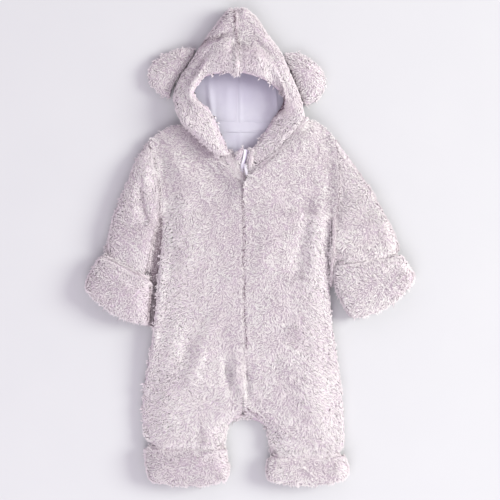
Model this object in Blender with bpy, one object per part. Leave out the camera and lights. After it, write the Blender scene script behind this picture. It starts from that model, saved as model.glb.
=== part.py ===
"""Hooded romper in curly fleece, laid flat on its back.

Lengths in the tables are in millimetres. X runs to the wearer's left, Y to the top of the hood, and Z up
from the surface that the garment lies on. The origin is the middle of the outline, on that surface. Each
cloth solid reaches as far as its pile does.
"""

from types import SimpleNamespace

import bmesh
import bpy
import numpy as np

MM = 0.001

# Driving sizes, in millimetres
CLOTH = 8.3  # fleece with its pile and lining
UNDER_CLOTH = 8.5  # the same in the back, which is flat
CUFF_CLOTH = 8.0
TUCKED_CLOTH = 6.0  # pressed by the cuff around it
LINING = 1.2
TAPE = 1.0
SEAM = 0.3  # what parts two pieces at a seam
PUFF = 8.5  # how far the front stands off the back
PUFF_REACH = 40.0  # from a side seam to where it is that high
INSEAM_REACH = 30.0
ZIP_X = -9.0
EDGE_STEPS = (0.0, 1.2, 3.6, 7.5, 13.0)  # lines of points beside an edge, by their distance to it
FOLD_FADE = 0.3  # the share of a fold's length over which it starts and ends
FOLD_END = 0.4  # the share of its height that is left at its ends
LEAST_ROW = 4.0  # a row that is nearer than this to an added one is left out
SHARP_EDGE = 0.9  # radians
SLEEVE_SIDES = 18
ROUND_OUTSIDE = 0.65  # power of a sleeve's outline in a cut across it: 1 is an ellipse, 0 a box
ROUND_INSIDE = 0.4
SLEEVE_SUNK = 0.12  # the share of a sleeve's height by which its underside is cut flat
HINGE_PIN = 0.55  # radius

FLEECE = (0.70, 0.62, 0.66)
JERSEY = (0.78, 0.75, 0.86)
WHITE_TAPE = (0.88, 0.88, 0.93)
WHITE_METAL = (0.82, 0.82, 0.84)


def table(columns, *rows):
    """The rows as arrays, one for each named column."""
    values = np.array(rows, float).T
    return SimpleNamespace(**dict(zip(columns.split(), values, strict=True)))


def pair(x, y):
    return np.stack([x, y], -1)


def smooth(t):
    t = np.clip(t, 0.0, 1.0)
    return t * t * (3.0 - 2.0 * t)


def rounded(distance, radius):
    """0 at an edge and 1 from a radius inside it, along a quarter circle."""
    return np.sqrt(1.0 - (1.0 - np.clip(distance / radius, 0.0, 1.0)) ** 2)


def beside(gap, reach):
    """1 up to the first distance and 0 from the second."""
    full, none = reach
    return smooth((none - gap) / (none - full))


def rounding(near, radii):
    """1 inside the outline, falling to 0 at it: each edge has its own radius."""
    share = 1.0
    for edge, radius in vars(radii).items():
        share = share * rounded(getattr(near, edge), radius)
    return share


def through(points, at):
    """Places on the smooth curve through the points. `at` counts the points from 0, in whole or part."""
    p = np.vstack([2 * points[:1] - points[1:2], points, 2 * points[-1:] - points[-2:-1]])
    first = np.clip(np.floor(at).astype(int), 0, len(points) - 2)
    f = (at - first)[:, None]
    a, b, c, d = (p[first + k] for k in range(4))
    return 0.5 * (2 * b + (c - a) * f + (2 * a - 5 * b + 4 * c - d) * f**2 + (3 * b - a - 3 * c + d) * f**3)


def from_edges(length, count, steps=EDGE_STEPS):
    """`count` distances from 0 to each length, closer near both ends."""
    length = np.atleast_1d(length)[:, None]
    even = np.linspace(0.0, 1.0, count)[None, :] * length
    near = np.minimum(np.array(steps)[None, :], even[:, : len(steps)])
    inner = count - 2 * len(steps)
    start = near[:, -1:]
    middle = start + (length - 2 * start) * (np.arange(1, inner + 1) / (inner + 1))[None, :]
    return np.hstack([near, middle, length - near[:, ::-1]])


def bow_row(start, end, bow, count):
    """Places across a straight row that is bowed sideways, by this much in the middle."""
    t = np.linspace(0.0, 1.0, count)[:, None]
    along = (end - start) / np.linalg.norm(end - start)
    return start + (end - start) * t + np.array([-along[1], along[0]]) * bow * 4 * t * (1 - t)


def to_line(x, y, line):
    """The distance from each place to a line of (x, y) points, and how far along it that is, from 0 to 1."""
    line = np.array(line, float)
    best = np.full(np.shape(x), np.inf)
    along = np.zeros(np.shape(x))
    for k, (a, b) in enumerate(zip(line[:-1], line[1:], strict=True)):
        run = b - a
        t = np.clip(((x - a[0]) * run[0] + (y - a[1]) * run[1]) / (run @ run), 0.0, 1.0)
        gap = np.hypot(x - a[0] - run[0] * t, y - a[1] - run[1] * t)
        along = np.where(gap < best, (k + t) / (len(line) - 1), along)
        best = np.minimum(best, gap)
    return best, along


def relief(folds, x, y):
    """The height that the ridges add to a surface and the troughs take from it."""
    height = np.zeros(np.shape(x))
    for fold in folds:
        gap, along = to_line(x, y, fold["line"])
        ends = smooth(along / FOLD_FADE) * smooth((1 - along) / FOLD_FADE)
        fade = FOLD_END + (1 - FOLD_END) * ends
        height += fold["height"] * fade * np.exp(-((gap / fold["width"]) ** 2))
    return height


# ---------------------------------------------------------------- solids


def material(name, colour, roughness=0.95, metallic=0.0):
    found = bpy.data.materials.get(name)
    if found:
        return found
    found = bpy.data.materials.new(name)
    found.use_nodes = True
    shader = found.node_tree.nodes["Principled BSDF"]
    shader.inputs["Base Color"].default_value = (*colour, 1.0)
    shader.inputs["Roughness"].default_value = roughness
    shader.inputs["Metallic"].default_value = metallic
    return found


def add_object(name, mesh, finish, home):
    ob = bpy.data.objects.new(name, mesh)
    mesh.materials.append(finish)
    mesh.shade_smooth()
    mesh.set_sharp_from_angle(angle=SHARP_EDGE)
    home.objects.link(ob)
    return ob


def wall(name, outer, inner, finish, home, around=False):
    """A closed wall between two grids of points, rows by columns.

    `around` joins the last column to the first. Both skins are cut into triangles along the same diagonals.
    """
    rows, columns = outer.shape[:2]
    bm = bmesh.new()
    skins = [[[bm.verts.new(p * MM) for p in row] for row in grid] for grid in (outer, inner)]
    for side, skin in enumerate(skins):
        for j in range(rows - 1):
            for i in range(columns if around else columns - 1):
                k = (i + 1) % columns
                a, b, c, d = skin[j][i], skin[j][k], skin[j + 1][k], skin[j + 1][i]
                for corners in ((a, b, c), (a, c, d)):
                    bm.faces.new(corners[::-1] if side else corners)
    top, under = skins
    border = [[(j, i) for i in range(columns)] for j in (0, rows - 1)]
    if around:
        border = [edge + edge[:1] for edge in border]
    else:
        border += [[(j, i) for j in range(rows)] for i in (0, columns - 1)]
    for edge in border:
        for (j, i), (n, m) in zip(edge[:-1], edge[1:], strict=True):
            bm.faces.new([top[j][i], top[n][m], under[n][m], under[j][i]])
    bmesh.ops.recalc_face_normals(bm, faces=bm.faces)
    if bm.calc_volume(signed=True) < 0:
        bmesh.ops.reverse_faces(bm, faces=bm.faces)
    mesh = bpy.data.meshes.new(name)
    bm.to_mesh(mesh)
    bm.free()
    return add_object(name, mesh, finish, home)


def panel(name, edges, columns, rows, under, top, finish, home, steps=EDGE_STEPS, more_rows=()):
    """A wall that lies flat between two edges, whose height above and below is a function of the place.

    `more_rows` are the distances from the last row at which it has more rows.
    """
    outer = pair(edges.outer_x, edges.outer_y)
    inner = pair(edges.inner_x, edges.inner_y)
    bow = getattr(edges, "bow", np.zeros(len(outer)))[:, None]
    dense = np.linspace(0, len(outer) - 1, 400)
    middle = through((outer + inner) / 2, dense)
    run = np.concatenate([[0], np.cumsum(np.linalg.norm(np.diff(middle, axis=0), axis=1))])
    down = from_edges(run[-1], rows, steps)[0]
    for row in run[-1] - np.array(more_rows):
        down = np.append(down[np.abs(down - row) > LEAST_ROW], row)
    down = np.sort(down)
    at = np.interp(down, run, dense)
    a, b, rise = through(outer, at), through(inner, at), through(bow, at)
    b[:, 0] = edges.limit(b[:, 0]) if hasattr(edges, "limit") else b[:, 0]
    width = np.linalg.norm(b - a, axis=1)
    across = from_edges(width, columns, steps)
    share = across / width[:, None]
    place = a[:, None] + (b - a)[:, None] * share[..., None]
    place[..., 1] += rise * 4 * share * (1 - share)
    near = SimpleNamespace(
        outer=across,
        inner=width[:, None] - across,
        start=np.repeat(down[:, None], columns, 1),
        end=np.repeat(run[-1] - down[:, None], columns, 1),
    )
    x, y = place[..., 0], place[..., 1]
    low = under(x, y, near)
    high = top(x, y, near, low)
    return wall(name, np.dstack([x, y, high]), np.dstack([x, y, low]), finish, home)


def tube(name, stations, rows, finish, home, sides=SLEEVE_SIDES, folds=()):
    """A flattened tube with open ends. Each station runs between two edges, bowed along the tube."""
    t = stations
    values = np.stack([t.outer_x, t.outer_y, t.inner_x, t.inner_y, t.bow, t.low, t.high, t.cloth], 1)
    s = through(values, np.linspace(0, len(values) - 1, rows))
    a, b = s[:, 0:2], s[:, 2:4]
    half = (b - a) / 2
    along = half / np.linalg.norm(half, axis=1)[:, None]
    ahead = np.stack([-along[:, 1], along[:, 0]], 1)
    turn = np.linspace(0, 2 * np.pi, sides, endpoint=False)
    skins = []
    for inside in (0.0, 1.0):
        cut = np.minimum(s[:, 7], t.cloth.max()) * inside
        power = ROUND_INSIDE if inside else ROUND_OUTSIDE
        across = np.sign(np.cos(turn)) * np.abs(np.cos(turn)) ** power
        up = np.sign(np.sin(turn)) * np.abs(np.sin(turn)) ** power
        width = np.linalg.norm(half, axis=1) - cut
        place = (a + b)[:, None] / 2 + along[:, None] * (width[:, None] * across)[..., None]
        place = place + ahead[:, None] * (s[:, 4, None] * (1 - across**2))[..., None]
        low, high = np.maximum(s[:, 5], 0) + cut, s[:, 6] - cut
        sunk = SLEEVE_SUNK * (high - low)
        z = (low - sunk + high)[:, None] / 2 + ((high - low + sunk) / 2)[:, None] * up
        crest = relief(folds, place[..., 0], place[..., 1]) * np.clip(up, 0, 1)
        z = np.maximum(z + crest, low[:, None])
        skins.append(np.dstack([place, z]))
    return wall(name, skins[0], skins[1], finish, home, around=True)


# ---------------------------------------------------------------- body and legs

ARMHOLE_RIGHT = SimpleNamespace(start=np.array([-146.0, 152.0]), end=np.array([-128.0, 41.0]), bow=7.0)
ARMHOLE_LEFT = SimpleNamespace(start=np.array([123.0, 157.0]), end=np.array([122.0, 30.0]), bow=7.0)
ARMHOLE_ROWS = 6


def side_edge(armhole, rest):
    """The outer edge of a front or a back: the armhole, and then the side seam down to the hem."""
    return np.vstack([bow_row(armhole.start, armhole.end, armhole.bow, ARMHOLE_ROWS), rest])


SIDE_RIGHT = side_edge(
    ARMHOLE_RIGHT,
    [
        (-128.5, 18), (-130, -5), (-135, -46), (-138, -80), (-142, -118), (-147, -156), (-153, -188),
        (-157.5, -220), (-158, -240), (-157, -255), (-155, -268), (-152, -279), (-137, -288), (-134, -331),
    ],
)  # fmt: skip
SIDE_LEFT = side_edge(
    ARMHOLE_LEFT,
    [
        (119, 10), (117, -10), (116.5, -46), (119, -80), (122, -114), (127, -147), (132, -180),
        (136.5, -215), (138.5, -240), (140, -262), (139.5, -280), (137, -291), (126.5, -299), (126, -331),
    ],
)  # fmt: skip

FRONT_RIGHT_INNER = table(
    "x y",
    (-97, 177), (-80, 159), (-63, 144), (-46, 131), (-29, 121), (-22.5, 109),
    (-16, 97), (-9.5, 84), (-9.3, 40), (-9.3, -10), (-9.3, -65), (-9.3, -120), (-9.3, -175),
    (-9.3, -236), (-16, -246), (-27, -252), (-32.5, -264), (-34, -273), (-44, -289), (-45, -331),
)  # fmt: skip
FRONT_LEFT_INNER = table(
    "x y",
    (83, 184), (70, 164), (50, 141), (28, 122), (9, 108), (-1, 102),
    (-5, 95), (-8.6, 84), (-8.7, 40), (-8.7, -10), (-8.7, -65), (-8.7, -120), (-8.7, -175),
    (-8.7, -236), (-1, -244), (13, -249), (24, -262), (28, -284), (40, -299), (41, -331),
)  # fmt: skip
BACK_RIGHT_INNER = table(
    "x y",
    (-97, 174), (-72, 168), (-42, 169), (-9.2, 170), (-9.2, 140), (-9.2, 96),
    (-9.2, 60), (-9.2, 20), (-9.2, -10), (-9.2, -60), (-9.2, -110), (-9.2, -150), (-9.2, -190),
    (-9.2, -225), (-9.2, -248), (-25, -254), (-32.5, -265), (-34, -274), (-44, -289), (-45, -331),
)  # fmt: skip
BACK_LEFT_INNER = table(
    "x y",
    (84, 180), (62, 169), (34, 168), (-8.8, 170), (-8.8, 140), (-8.8, 96),
    (-8.8, 60), (-8.8, 20), (-8.8, -10), (-8.8, -60), (-8.8, -110), (-8.8, -150), (-8.8, -190),
    (-8.8, -225), (-8.8, -248), (10, -252), (24, -263), (28, -284), (40, -299), (41, -331),
)  # fmt: skip

NECK_V = ((-88, 172), (-20, 118), (60, 176))
# Distances from a line over the neck up to which something is whole, and from which it is gone
NECK_LINING_ROOM = (26.4, 48.4)
NECK_PRESS = (20.4, 54.4)  # the hood's weight
COLLAR_REACH = (11.0, 55.0)
COLLAR_START = 12.0  # from the shoulder
SHOULDER_REACH = 30.0  # from the shoulder to where the front is free of it
CROTCH_EASE = 8.0
FRONT_ROUNDING = SimpleNamespace(outer=9, inner=4, start=8, end=3)
BACK_ROUNDING = SimpleNamespace(outer=5, end=4)
THIN_EDGE = 0.25  # the share of the cloth's thickness that its edge has
SHOULDER_BOW = 7.0
CUFF_TOP_RIGHT = -286.0  # where the leg is wholly inside its cuff
CUFF_TOP_LEFT = -297.0
TUCK_REACH = 22.0
TUCK_ROWS = (34.0, 40.0, 46.0, 52.0, 58.0, 64.0, 70.0)  # distances from the hem
EDGE_RISE = 3.5  # of the underside at an outer edge
SLOPE_EASE = 1.2  # parts the two layers where they climb into the cuff
CROTCH_Y = -238.0

RIGHT_FOLDS = (
    {"line": ((-60, -100), (-85, -118)), "width": 9, "height": -4.0},
    {"line": ((-24, -160), (-27, -190), (-21, -218)), "width": 7, "height": -5.0},
    {"line": ((-40, -115), (-39, -128)), "width": 7, "height": -3.0},
    {"line": ((-100, -8), (-75, -14)), "width": 16, "height": 3.0},
    {"line": ((-72, 66), (-66, 50)), "width": 14, "height": -3.0},
    {"line": ((-118, 115), (-117, 86), (-119, 68)), "width": 8, "height": 5.0},
    {"line": ((-128, -90), (-128, -190)), "width": 18, "height": 2.5},
    {"line": ((-70, -170), (-95, -215)), "width": 22, "height": 3.0},
    {"line": ((-100, -219), (-48, -220)), "width": 5, "height": -2.5},
)
LEFT_FOLDS = (
    {"line": ((92, 84), (78, 18), (70, -18), (62, -42)), "width": 13, "height": -6.0},
    {"line": ((106, 92), (101, -20), (108, -140)), "width": 13, "height": 5.0},
    {"line": ((56, -132), (90, -150)), "width": 8, "height": -4.0},
    {"line": ((-3, -176), (-3, -192)), "width": 5, "height": -2.5},
    {"line": ((6, -222), (16, -240)), "width": 6, "height": -4.0},
    {"line": ((40, 60), (30, 10), (22, -60)), "width": 22, "height": 2.5},
    {"line": ((80, -190), (88, -250)), "width": 24, "height": 3.0},
)


def tuck_of(y, cuff_top):
    """0 on the free leg and 1 inside its cuff."""
    return smooth((cuff_top + TUCK_REACH - y) / TUCK_REACH)


def floor_of(y, cuff_top):
    """The underside of the leg: on the surface, or on the cuff's own wall."""
    return tuck_of(y, cuff_top) * (CUFF_CLOTH + SEAM)


def under_cloth(y, cuff_top):
    return UNDER_CLOTH + (TUCKED_CLOTH - UNDER_CLOTH) * tuck_of(y, cuff_top)


def neck_lining_room(x, y):
    """Room for the back's lining under the front, all along the neck."""
    gap, _ = to_line(x, y, NECK_V)
    return (LINING + SEAM) * beside(gap, NECK_LINING_ROOM)


def front_lift(x, y, near, side):
    """How far the front stands off the back."""
    tuck = tuck_of(y, side.cuff_top)
    leg = smooth((CROTCH_Y + CROTCH_EASE - y) / (2 * CROTCH_EASE))
    held = smooth(near.outer / PUFF_REACH) * (1 - leg * (1 - smooth(near.inner / INSEAM_REACH)))
    held = held * smooth(near.start / SHOULDER_REACH) * (1 - tuck)
    neck_gap, _ = to_line(x, y, side.neckline)
    lift = PUFF * (1 - beside(neck_gap, NECK_PRESS) * side.pressed) + relief(side.folds, x, y)
    raised = side.collar * beside(neck_gap, COLLAR_REACH) * smooth(near.start / COLLAR_START)
    return np.maximum(lift, 0) * held + raised + neck_lining_room(x, y)


def front_under(x, y, near, side):
    tuck = tuck_of(y, side.cuff_top)
    floor = floor_of(y, side.cuff_top) + under_cloth(y, side.cuff_top) + SEAM
    return floor + front_lift(x, y, near, side) + SLOPE_EASE * 4 * tuck * (1 - tuck)


def front_top(x, y, near, low, side):
    cloth = CLOTH + (TUCKED_CLOTH - CLOTH) * tuck_of(y, side.cuff_top)
    return low + cloth * (THIN_EDGE + (1 - THIN_EDGE) * rounding(near, FRONT_ROUNDING))


def back_under(x, y, near, side):
    return floor_of(y, side.cuff_top) + EDGE_RISE * (1 - rounding(near, BACK_ROUNDING))


def back_top(x, y, near, low, side):
    return floor_of(y, side.cuff_top) + under_cloth(y, side.cuff_top)


RIGHT = SimpleNamespace(
    name="right",
    cuff_top=CUFF_TOP_RIGHT,
    folds=RIGHT_FOLDS,
    neckline=((-96, 177), (-63, 144), (-29, 121)),
    pressed=1.0,  # the hood lies on it
    collar=0.0,
)
LEFT = SimpleNamespace(
    name="left",
    cuff_top=CUFF_TOP_LEFT,
    folds=LEFT_FOLDS,
    neckline=((84, 186), (50, 141), (9, 108)),
    pressed=0.0,
    collar=8.0,  # it stands up to the hood's edge
)


def body_edges(outer, inner):
    bow = np.zeros(len(outer))
    bow[0] = SHOULDER_BOW
    bow[1] = SHOULDER_BOW / 3
    sign = np.sign(outer[0, 0])
    return SimpleNamespace(
        outer_x=outer[:, 0],
        outer_y=outer[:, 1],
        inner_x=inner.x,
        inner_y=inner.y,
        bow=bow,
        limit=lambda x: ZIP_X + sign * np.maximum(sign * (x - ZIP_X), SEAM / 2),
    )


def make_body(home, fleece):
    for side, outer, front_inner, back_inner in (
        (RIGHT, SIDE_RIGHT, FRONT_RIGHT_INNER, BACK_RIGHT_INNER),
        (LEFT, SIDE_LEFT, FRONT_LEFT_INNER, BACK_LEFT_INNER),
    ):
        panel(
            f"front_{side.name}",
            body_edges(outer, front_inner),
            14,
            28,
            lambda x, y, near, s=side: front_under(x, y, near, s),
            lambda x, y, near, low, s=side: front_top(x, y, near, low, s),
            fleece,
            home,
            more_rows=TUCK_ROWS,
        )
        panel(
            f"back_{side.name}",
            body_edges(outer, back_inner),
            9,
            16,
            lambda x, y, near, s=side: back_under(x, y, near, s),
            lambda x, y, near, low, s=side: back_top(x, y, near, low, s),
            fleece,
            home,
            steps=(0.0, 2.0, 6.0),
            more_rows=TUCK_ROWS,
        )


# ---------------------------------------------------------------- sleeves and cuffs

SLEEVE_COLUMNS = "outer_x outer_y inner_x inner_y bow low high cloth"
SLEEVE_RIGHT = table(
    SLEEVE_COLUMNS,
    (-147.2, 151.4, -129.2, 41.0, 6.6, 1.5, 20, 6.5),
    (-150, 147, -129.5, 38, 5.5, 0, 23, 8),
    (-166, 120, -132.5, 28, 2, 0, 27.5, 8),
    (-184, 78, -137, 10, 0, 0, 28.5, 8),
    (-197, 42, -141.5, -12, -1, 0, 28, 8),
    (-203, 13, -145, -30, -1, 2, 27, 7),
    (-202, -5, -152, -43, -2, 8.7, 23.6, 5.2),
    (-208, -28, -155, -62, -4, 8.7, 23.6, 5),
    (-222, -57, -156, -98, -8, 8.7, 23.6, 5),
)
SLEEVE_CUFF_RIGHT = table(
    SLEEVE_COLUMNS,
    (-211, -13, -142, -49, 0, 3, 30, 4),
    (-216, -15, -139.5, -55, -0.5, 0, 33.5, 8),
    (-227, -32, -141, -74, -2, 0, 34, 8),
    (-236, -51, -143, -99, -6, 0, 33, 8),
    (-236, -60, -144.5, -111, -9, 0, 30, 7),
    (-231, -62, -149, -112, -11, 3, 26, 4),
)
SLEEVE_LEFT = table(
    SLEEVE_COLUMNS,
    (124.4, 156.4, 123.4, 30.0, 7.8, 1.5, 20, 6.5),
    (129, 150, 123, 26, 6.5, 0, 23, 8),
    (151, 121, 122, 14, 4, 0, 27.5, 8),
    (176, 84, 121, 5, 2, 0, 28.5, 8),
    (198, 44, 120.5, -3, 1, 0, 28, 8),
    (210, 13, 122, -8, 0, 2, 27, 7),
    (211, -4, 133, -20, 0, 8.7, 23.6, 5.2),
    (213, -22, 139, -47, 3, 8.7, 23.6, 5),
    (222, -45, 155, -88, 7, 8.7, 23.6, 5),
)
SLEEVE_CUFF_LEFT = table(
    SLEEVE_COLUMNS,
    (216, -13, 124, -26, 0, 3, 30, 4),
    (221, -14, 121, -32, 1, 0, 33.5, 8),
    (231, -28, 122.5, -60, 3, 0, 34, 8),
    (237.5, -40, 137, -91, 7, 0, 33, 8),
    (236.5, -49, 146, -102, 10, 0, 30, 7),
    (231, -54, 151, -102, 12, 3, 26, 4),
)
LEG_CUFF_RIGHT = table(
    SLEEVE_COLUMNS,
    (-149, -290, -35, -291, 0, 3, 26, 4),
    (-152.5, -293, -31.5, -294, 0, 0, 30, 8),
    (-151, -311, -29.5, -311, 0, 0, 31, 8),
    (-148.5, -327, -28, -324, -4, 0, 30, 8),
    (-144, -336, -31, -334, -7, 0, 27, 7),
    (-139, -337, -37, -336, -8, 3, 24, 4),
)
LEG_CUFF_LEFT = table(
    SLEEVE_COLUMNS,
    (31, -302, 135, -301, 0, 3, 26, 4),
    (26.5, -305, 139.5, -304, 0, 0, 30, 8),
    (23.5, -315, 143.5, -315, 0, 0, 31, 8),
    (22.5, -327, 144, -326, -4, 0, 30, 8),
    (26, -335, 139, -334, -7, 0, 27, 7),
    (31, -336, 134, -335, -8, 3, 24, 4),
)

SLEEVE_FOLDS = (
    {"line": ((-155, 92), (-156, 66), (-146, 38)), "width": 6, "height": -4.0},
    {"line": ((-150, 120), (-142, 80)), "width": 7, "height": 3.0},
    {"line": ((146, 92), (132, 60), (126, 26)), "width": 8, "height": -3.0},
    {"line": ((182, 60), (166, 10)), "width": 16, "height": 2.0},
)


def make_sleeves(home, fleece):
    for name, stations, rows in (
        ("sleeve_right", SLEEVE_RIGHT, 13),
        ("sleeve_left", SLEEVE_LEFT, 13),
        ("sleeve_cuff_right", SLEEVE_CUFF_RIGHT, 6),
        ("sleeve_cuff_left", SLEEVE_CUFF_LEFT, 6),
        ("leg_cuff_right", LEG_CUFF_RIGHT, 6),
        ("leg_cuff_left", LEG_CUFF_LEFT, 6),
    ):
        tube(name, stations, rows, fleece, home, folds=SLEEVE_FOLDS)


# ---------------------------------------------------------------- hood

# The root is the neck seam, the fold the hood's outline, and the edge the centre seam and then the rim of
# the face opening. `low` and `high` are the middle of the cloth below and above the fold, `lip` at the edge.
# `brow` is the share of the way from the fold to the edge at which the cloth steps up over the forehead.
HOOD_COLUMNS = "root_x root_y fold_x fold_y edge_x edge_y low high lip brow cloth"
HOOD_RIGHT = table(
    HOOD_COLUMNS,
    (-18.3, 171.3, -20.0, 341, -18.3, 244, 4.5, 25, 40, 0.42, 9),
    (-25, 171.7, -28, 344, -27, 243.5, 4.5, 26, 40, 0.42, 9),
    (-36, 172.1, -40, 331, -40, 243, 4.5, 26, 40, 0.30, 9),
    (-47, 172.3, -54, 313, -54, 241.5, 4.5, 26, 40, 0.16, 9),
    (-59, 172.4, -72, 288, -66, 237, 4.5, 27, 40, 0.02, 9),
    (-70, 173.3, -89, 261, -73, 227, 4.5, 29, 40, 0.0, 9),
    (-79, 177.5, -103, 240, -77, 215, 4.5, 31, 39, 0.0, 9),
    (-88, 184, -110, 218, -67, 205, 4.5, 32, 39, 0.0, 9),
    (-93, 186, -108, 198, -55, 197, 6.0, 34, 39, 0.0, 9),
    (-84, 172, -97.5, 174.5, -46, 183, 23.5, 37, 39, 0.0, 8.5),
    (-68, 155, -78.5, 155.5, -38, 164, 24, 37, 39, 0.0, 8.5),
    (-50, 140, -58.5, 136.5, -30, 146, 24, 36, 37, 0.0, 8),
    (-34, 127, -41.5, 121.5, -23.5, 130, 23.5, 33, 33, 0.0, 6.5),
)
HOOD_LEFT = table(
    HOOD_COLUMNS,
    (-17.7, 171.3, -17.2, 341, -17.7, 244, 4.5, 25, 40, 0.42, 9),
    (-8, 171.5, -9, 345, -7, 243, 4.5, 26, 40, 0.42, 9),
    (4, 171.8, 2.5, 338, 9, 239, 4.5, 26, 40, 0.34, 9),
    (16, 172.2, 15, 324, 24, 233, 4.5, 26, 40, 0.22, 9),
    (28, 173.2, 29.5, 303, 37, 225, 4.5, 27, 40, 0.08, 9),
    (40, 174.1, 46, 281, 46, 215, 4.5, 28, 39, 0.0, 9),
    (52, 175.2, 60, 251, 51, 205, 4.5, 30, 38, 0.0, 9),
    (62, 178.5, 73, 222, 43, 195, 4.5, 31, 37, 0.0, 9),
    (68, 184, 78, 202, 31, 182, 4.8, 31, 36, 0.0, 9),
    (68, 180, 80.5, 182.5, 25, 174, 17, 31.5, 35, 0.0, 8),
    (58, 162, 66.5, 161, 17, 163, 16, 31, 34, 0.0, 8),
    (40, 144, 47.5, 140, 10, 153, 16, 30, 32, 0.0, 7.5),
    (22, 128, 27.5, 122, 5, 146, 16, 27.5, 28, 0.0, 6.5),
    (6, 118, 7.5, 110.5, 2.2, 141, 16, 25.5, 26, 0.0, 6),
)
HOOD_COLUMNS_BACK = 2
HOOD_COLUMNS_FOLD = 6
HOOD_COLUMNS_FRONT = 8
HOOD_ROWS = 20
LINED_ROWS = 12  # of the hood's rows, from the centre seam
LINING_SLACK = 0.8  # more room between hood and lining, round the fold and in front
FOLD_FLATNESS = 0.85
BROW_RUN = 0.22
HOOD_CROWN = 3.0
FULL_CLOTH = 8.9  # where the hood's cloth is at least this thick, its front is crowned
FRONT_EDGE = (0.85, 0.35)  # the share of the outer half of the cloth on the last lines before the rim
SEAM_EDGE = (0.45, 0.85)  # and on the first lines beside the centre seam
FOLD_BESIDE = 0.3  # of a row: the outline's direction is taken from this far before to this far after
SEAM_ROWS = 2.0  # over which the way out turns from the centre seam's to the outline's


def hood_skin(rows, offset, lining=False):
    """Both sides of a sheet that runs from the neck, round the hood's outline, to the face.

    `offset` holds the two distances from the middle of the cloth, outwards, for each thickness of the
    cloth. The lining has the same lines of points, but ends short of the shoulder and of the face edge.
    """
    t = rows
    values = np.stack(
        [
            t.root_x, t.root_y, t.fold_x, t.fold_y, t.edge_x, t.edge_y,
            t.low, t.high, t.lip, t.brow, t.cloth,
        ],
        1,
    )  # fmt: skip
    count = LINED_ROWS if lining else HOOD_ROWS
    at = np.linspace(0, len(values) - 1, HOOD_ROWS)[:count]
    s = through(values, at)
    root, fold, edge = s[:, 0:2], s[:, 2:4], s[:, 4:6]
    low, high, lip, brow, cloth = s[:, 6:].T
    low = np.maximum(low, cloth / 2)
    both = np.clip(at[:, None] + np.array([-FOLD_BESIDE, FOLD_BESIDE]), 0, len(values) - 1).ravel()
    dense = through(values[:, 2:4], both)
    run = dense[1::2] - dense[::2]
    outward = np.stack([run[:, 1], -run[:, 0]], 1)
    outward *= np.sign((outward * (fold - (root + edge) / 2)).sum(1))[:, None]
    outward /= np.linalg.norm(outward, axis=1)[:, None]
    along_seam = smooth(at / SEAM_ROWS)[:, None]
    outward = np.array([[0.0, 1.0]]) * (1 - along_seam) + outward * along_seam
    outward /= np.linalg.norm(outward, axis=1)[:, None]
    radius = (high - low) / 2
    centre = fold - outward * (cloth / 2 + FOLD_FLATNESS * radius)[:, None]
    turn = np.linspace(-np.pi / 2, np.pi / 2, HOOD_COLUMNS_FOLD)
    back = np.linspace(0, 1, HOOD_COLUMNS_BACK, endpoint=False)
    front = np.linspace(0, 1, HOOD_COLUMNS_FRONT + 1)[1 : -1 if lining else None]
    place, direction = [], []
    for share in back:
        flat = root + (centre - root) * share
        place.append(np.column_stack([flat, low]))
        direction.append(np.column_stack([outward * 0, -np.ones(count)]))
    for angle in turn:
        flat = centre + outward * (FOLD_FLATNESS * radius * np.cos(angle))[:, None]
        place.append(np.column_stack([flat, (low + high) / 2 + radius * np.sin(angle)]))
        direction.append(np.column_stack([outward * np.cos(angle), np.full(count, np.sin(angle))]))
    for share in front:
        flat = centre + (edge - centre) * share
        step = smooth((share - brow) / np.maximum(BROW_RUN, (1 - brow) / 2))
        bulge = np.sin(np.pi * np.clip((share - brow) / (1 - brow), 0, 1))
        crown = HOOD_CROWN * bulge * (cloth > FULL_CLOTH)
        place.append(np.column_stack([flat, high + (lip - high) * step + crown]))
        direction.append(np.column_stack([outward * 0, np.ones(count)]))
    place = np.stack(place, 1)
    direction = np.stack(direction, 1)
    skins = []
    for distance in offset:
        amount = np.array([distance(c) for c in cloth])[:, None] * np.ones(place.shape[1])
        if not lining:
            thin = np.ones(place.shape[:2])
            thin[:, -2:] = FRONT_EDGE
            above = direction[..., 2] > 0
            for k, seam_share in enumerate(SEAM_EDGE):
                thin[k] *= np.where(above[k], seam_share, 1.0)
            amount = amount * thin if distance(1.0) > 0 else amount
        else:
            amount[:, HOOD_COLUMNS_BACK:] -= LINING_SLACK
        skins.append(place + direction * amount[..., None])
    return skins


def make_hood(home, fleece, jersey):
    def outside(cloth):
        return cloth / 2

    def inside(cloth):
        return -cloth / 2

    def lining_outside(cloth):
        return -cloth / 2 - SEAM

    def lining_inside(cloth):
        return -cloth / 2 - SEAM - LINING

    for side, rows in (("right", HOOD_RIGHT), ("left", HOOD_LEFT)):
        wall(f"hood_{side}", *hood_skin(rows, (outside, inside)), fleece, home)
        lining = hood_skin(rows, (lining_outside, lining_inside), lining=True)
        wall(f"hood_lining_{side}", *lining, jersey, home)


# ---------------------------------------------------------------- back lining, ears, zip

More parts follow.
